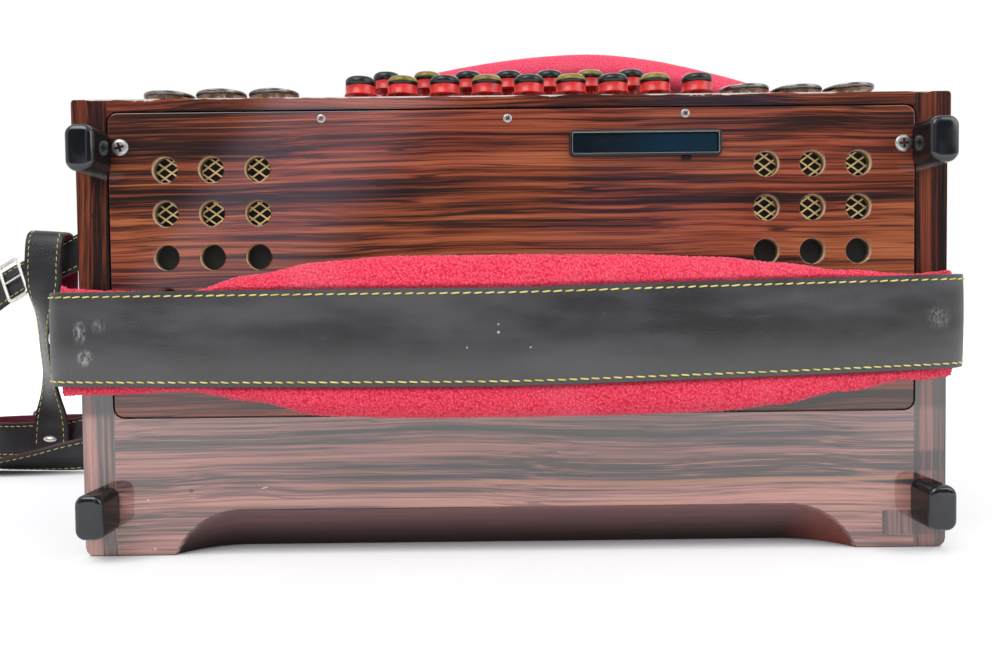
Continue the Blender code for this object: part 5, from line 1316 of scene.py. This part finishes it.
FOLDS = 15
FRAME_BOARD = 0.010
FOLD_START = BASS_INNER_Y + 2 * GAP + FRAME_BOARD
FOLD_END = TREBLE_INNER_Y - 2 * GAP - FRAME_BOARD
PITCH = (FOLD_END - FOLD_START) / FOLDS
FOLD_MIDDLES = [FOLD_START + PITCH * (i + 0.5) for i in range(FOLDS)]
FOLD_WIDE, FOLD_TALL, FOLD_CORNER = HALF_WIDTH - 0.002, HEIGHT / 2 - 0.002, 0.012
# Inset and share of a pitch from the middle of a fold: first the outside, then the inside.
FOLD_OUTSIDE = ((0.0060, -0.42), (0.0014, -0.24), (0.0, 0.0), (0.0014, 0.24), (0.0060, 0.42), (0.020, 0.5))
FOLD_INSIDE = ((0.0040, 0.0), (0.024, 0.5))
# Share of a pitch and lift of the metal on a fold's corner.
CORNER_METAL = ((-0.40, -0.0028), (-0.22, -0.0001), (0.0, 0.0007), (0.22, -0.0001), (0.40, -0.0028), (0.0, -0.0006))


def make_bellows():
    """Folds of cloth with a leather edge on each fold and metal on its corners."""
    def ring(inset, y):
        wide, tall, c = FOLD_WIDE - inset, FOLD_TALL - inset, FOLD_CORNER
        points = []
        for x0, z0, x1, z1 in ((wide, -tall + c, wide, tall - c), (wide - c, tall, -wide + c, tall),
                               (-wide, tall - c, -wide, -tall + c), (-wide + c, -tall, wide - c, -tall)):
            for k in range(6):
                t = k / 5
                points.append((x0 + (x1 - x0) * t, y, HEIGHT / 2 + z0 + (z1 - z0) * t))
        return points

    def run(first, fold):
        spots = [(inset, y + PITCH * share) for y in FOLD_MIDDLES for inset, share in fold]
        return [ring(inset, y) for inset, y in [(first, FOLD_START)] + spots]

    form = bmesh.new()
    rows = loft(form, run(0.020, FOLD_OUTSIDE) + run(0.024, FOLD_INSIDE)[::-1], closed=True)
    index = {v: i for i, row in enumerate(rows) for v in row}
    edge_rows = {1 + 6 * f + k for f in range(FOLDS) for k in range(5)}
    for face in form.faces:
        if {index[v] for v in face.verts} <= edge_rows:
            face.material_index = 1
    folds = piece("bellows_folds", form, None, ("bellows", "tape"), ("bellows",), 50)
    for obj in (folds, make_bellows_corners()):
        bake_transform(obj)


def make_bellows_corners():
    wide, tall, c = FOLD_WIDE, FOLD_TALL, FOLD_CORNER
    front, slant = Vector((1, 0, 0)), Vector((0.7, 0, 0.7))
    path = (
        (wide, tall - c - 0.006, front), (wide, tall - c, slant),
        (wide - c, tall, slant), (wide - c - 0.006, tall, Vector((0, 0, 1))),
    )
    form = bmesh.new()
    for y in FOLD_MIDDLES:
        for side in (-1, 1):
            for end in (-1, 1):
                rings = []
                for u, v, out in path:
                    spots = [(share, Vector((u, 0, v)) + out * lift) for share, lift in CORNER_METAL]
                    rings.append([(side * p.x, y + PITCH * share, HEIGHT / 2 + end * p.z) for share, p in spots])
                loft(form, rings)
    return piece("bellows_corners", form, None, ("nickel",), (), 45)


def make_bellows_straps():
    half = 0.0013
    pin, tip = BASS_INNER_Y - 0.018, TREBLE_INNER_Y + 0.012
    for name, side in (("bottom", -1), ("top", 1)):
        x = side * (HALF_WIDTH + 0.0006 + half)
        rows = [(x, pin - 0.0012 + (tip - pin + 0.0024) * k / 24, 0.045, side, 0, 0, 0.020) for k in range(25)]
        frames = strap_frames(rows)
        form = bmesh.new()
        strap(form, frames, 2 * half, 0.4, 0.0002, 6, 0.004)
        body = f"bellows_strap_{name}"
        piece(f"closing_strap_{name}", form, body, ("black_leather", "lining"), (body,), 50)
        make_stitches(f"closing_strap_{name}_stitches", body, frames, 2 * half, 0.0022)
        snaps = bmesh.new()
        for at in (2, 22):
            add_stud(snaps, frames[at], 0.0042, 2 * half)
        piece(f"closing_strap_{name}_snaps", snaps, body, ("nickel",), (), 40)


# Treble side

KEY_ROWS = ((11, 0.0), (12, 0.0), (12, 0.5), (11, 0.5))
PEARL = (
    (0.0, -0.0001), (0.0062, -0.0001), (0.00668, 0.0002), (0.00668, 0.0033), (0.0063, 0.0042),
    (0.0055, 0.0047), (0.0045, 0.0048), (0.0030, 0.0047), (0.0, 0.0046),
)
CLOTH_LEVELS = ((0.0, 0.0), (0.0, 0.0003), (0.0003, 0.0004))


def make_treble_details():
    """Turned pearl buttons over the keys' own, cloth behind the cover's slots, and the cover's screws."""
    for k, (count, shift) in enumerate(KEY_ROWS, 1):
        y = TREBLE_OUTER_Y + 0.0235 + (4 - k) * 0.016
        z = 0.075 + (k - 1) * 0.006 + 0.0035
        form = bmesh.new()
        for i in range(count):
            x = (i - (count - 1) / 2 + shift) * 0.019
            turned(form, PEARL, Matrix.Translation((x, y, z)), 32)
        piece(f"pearl_buttons_row_{k}", form, f"treble_keys_row_{k}", ("pearl",), (), 35)
    cloth_form = bmesh.new()
    place = facing(0.0, TREBLE_OUTER_Y + 0.0005, 0.152) @ Matrix.Rotation(math.pi, 4, "X")
    rounded_block(cloth_form, 0.1765, 0.0445, 0.006, place, CLOTH_LEVELS, 4)
    piece("cover_cloth", cloth_form, "treble_side", ("bellows",))
    screws = bmesh.new()
    for x in (-0.172, 0.172):
        for z in (0.112, 0.192):
            place = Matrix.Translation((x, TREBLE_OUTER_Y + GAP + 0.0130, z)) @ Matrix.Rotation(-math.pi / 2, 4, "X")
            add_screw(screws, place, 0.0026, 0.0008, 0.4 + x)
    piece("treble_cover_screws", screws, "treble_side", ("steel", "cap_black"), (), 45)


def dress_cad():
    dress(("bass_casing",), "case")
    dress(("treble_casing", "treble_cover"), "treble")
    dress(("fingerboard",), "board")
    dress(("bellows_frame_bass", "bellows_frame_treble"), "frame")
    dress(("bass_reed_block", "treble_reed_block"), "bare")
    dress(("bass_strap_anchor", "bass_strap_adjuster", "strap_bracket_top", "strap_bracket_bottom"), "nickel")
    dress([f"treble_keys_row_{k}" for k in range(1, 5)], "pearl")
    dress(("air_valve",), "felt")
    soften(("bass_strap_anchor", "strap_bracket_top", "strap_bracket_bottom"), 0.0005)
    soften(("treble_cover", "fingerboard"), 0.0008, 3)
    soften(("bellows_frame_bass", "bellows_frame_treble"), 0.0006)


# Stage

LAMPS = (
    # name, place, aim, size, power
    ("key", (-0.7, -1.3, 1.5), (0, -0.15, 0.1), 1.1, 16.0),
    ("fill", (1.2, -1.0, 0.9), (0, -0.1, 0.1), 1.0, 7.0),
    ("back", (0.2, 1.3, 1.4), (0, 0, 0.1), 1.2, 9.0),
)
PAPER, ROOM, ROOM_MIRRORED = (1.0, 1.0, 1.0), (0.62, 0.62, 0.64), (0.82, 0.82, 0.83)
BEHIND_CAMERA, LILAC, BLUE = (0.012, 0.012, 0.014), (0.88, 0.76, 1.0), (0.10, 0.10, 0.22)


def floor_white():
    """White to the camera wherever the floor lies open, and a plain pale grey to every other ray."""
    look = Look("floor_white")
    look.tree.nodes.remove(look.shader)
    ray = look.add("ShaderNodeLightPath")
    shown = look.math("MAXIMUM", ray.outputs["Is Camera Ray"], ray.outputs["Is Glossy Ray"])
    shown = look.math("MAXIMUM", shown, ray.outputs["Is Transmission Ray"])
    grain = look.noise(look.place, 30.0, 2.0)
    plain = look.add("ShaderNodeBsdfDiffuse")
    look.feed(plain.inputs["Color"], look.greys(grain, 0.3, 0.78, 0.7, 0.82))
    soft = look.add("ShaderNodeBsdfDiffuse")
    look.feed(soft.inputs["Color"], look.ramp(grain, (0.3, (0.50, 0.51, 0.52)), (0.7, (0.52, 0.53, 0.54))))
    glow = look.add("ShaderNodeEmission")
    glow.inputs["Color"].default_value = (*PAPER, 1.0)
    x, y, _ = look.axes()
    away = look.math("SQRT", look.plus(look.times(x, x), look.times(y, y)))
    closed = look.add("ShaderNodeAmbientOcclusion", samples=8)
    closed.inputs["Distance"].default_value = 0.05
    lit = look.step(closed.outputs["AO"], 0.30, 0.55)
    level = look.plus(0.56, look.times(look.step(away, 0.35, 0.95), 0.5))
    look.feed(glow.inputs["Strength"], look.times(level, lit))
    both = look.add("ShaderNodeAddShader")
    look.feed(both.inputs[0], soft.outputs[0])
    look.feed(both.inputs[1], glow.outputs[0])
    chosen = look.add("ShaderNodeMixShader")
    look.feed(chosen.inputs[0], shown)
    look.feed(chosen.inputs[1], plain.outputs[0])
    look.feed(chosen.inputs[2], both.outputs[0])
    look.feed(look.tree.nodes["Material Output"].inputs["Surface"], chosen.outputs[0])
    return look.material


def make_floor():
    form = bmesh.new()
    bmesh.ops.create_grid(form, x_segments=1, y_segments=1, size=3.2, matrix=Matrix.Translation((0, 0, -0.0004)))
    mesh = bpy.data.meshes.new("floor")
    form.to_mesh(mesh)
    form.free()
    floor = bpy.data.objects.new("floor", mesh)
    bpy.context.scene.collection.objects.link(floor)
    mesh.materials.append(floor_white())


def make_room():
    """A room that is white to the camera and darker behind it in mirrored light, with two soft slanting bands."""
    world = bpy.data.worlds.new("studio")
    bpy.context.scene.world = world
    world.use_nodes = True
    look = Look(None, world.node_tree)
    look.shader = world.node_tree.nodes["Background"]
    x, y, z = look.axes(look.add("ShaderNodeTexCoord").outputs["Generated"])
    toward = look.times(y, -1.0)
    dark = look.times(look.step(toward, 0.50, 0.74), look.step(z, 0.62, 0.40))
    aside = look.over(x, look.math("MAXIMUM", toward, 0.05))
    rise = look.over(z, look.math("MAXIMUM", toward, 0.05))
    lean = look.minus(aside, look.times(rise, 0.75))
    band = look.times(look.step(lean, -0.46, -0.40), look.step(lean, -0.19, -0.30))
    haze = look.mix(band, BEHIND_CAMERA, LILAC)
    band = look.times(look.step(lean, -0.05, 0.04), look.step(lean, 0.21, 0.13))
    haze = look.mix(band, haze, BLUE)
    ray = look.add("ShaderNodeLightPath")
    level = look.mix(ray.outputs["Is Glossy Ray"], ROOM, look.mix(dark, ROOM_MIRRORED, haze))
    clear = look.math("MAXIMUM", ray.outputs["Is Camera Ray"], ray.outputs["Is Transmission Ray"])
    look.feed(look.shader.inputs["Color"], look.mix(clear, level, PAPER))
    look.shader.inputs["Strength"].default_value = 1.0


def make_lamps():
    for name, place, aim, size, power in LAMPS:
        lamp = bpy.data.lights.new(name, "AREA")
        lamp.shape = "SQUARE"
        lamp.size = size
        lamp.energy = power
        obj = bpy.data.objects.new(name, lamp)
        obj.location = place
        obj.rotation_euler = (Vector(aim) - Vector(place)).to_track_quat("-Z", "Y").to_euler()
        bpy.context.scene.collection.objects.link(obj)
    bpy.context.scene.view_settings.view_transform = "Standard"


place_camera()
make_floor()
make_room()
make_lamps()
make_cover()
make_mesh("left", -1)
make_mesh("right", 1)
make_screws()
make_feet()
make_air_key()
make_buttons()
make_bells()
make_hand_strap()
make_hand_strap_pad()
make_shoulder_straps()
make_cross_strap()
make_bellows()
make_bellows_straps()
make_treble_details()
dress_cad()
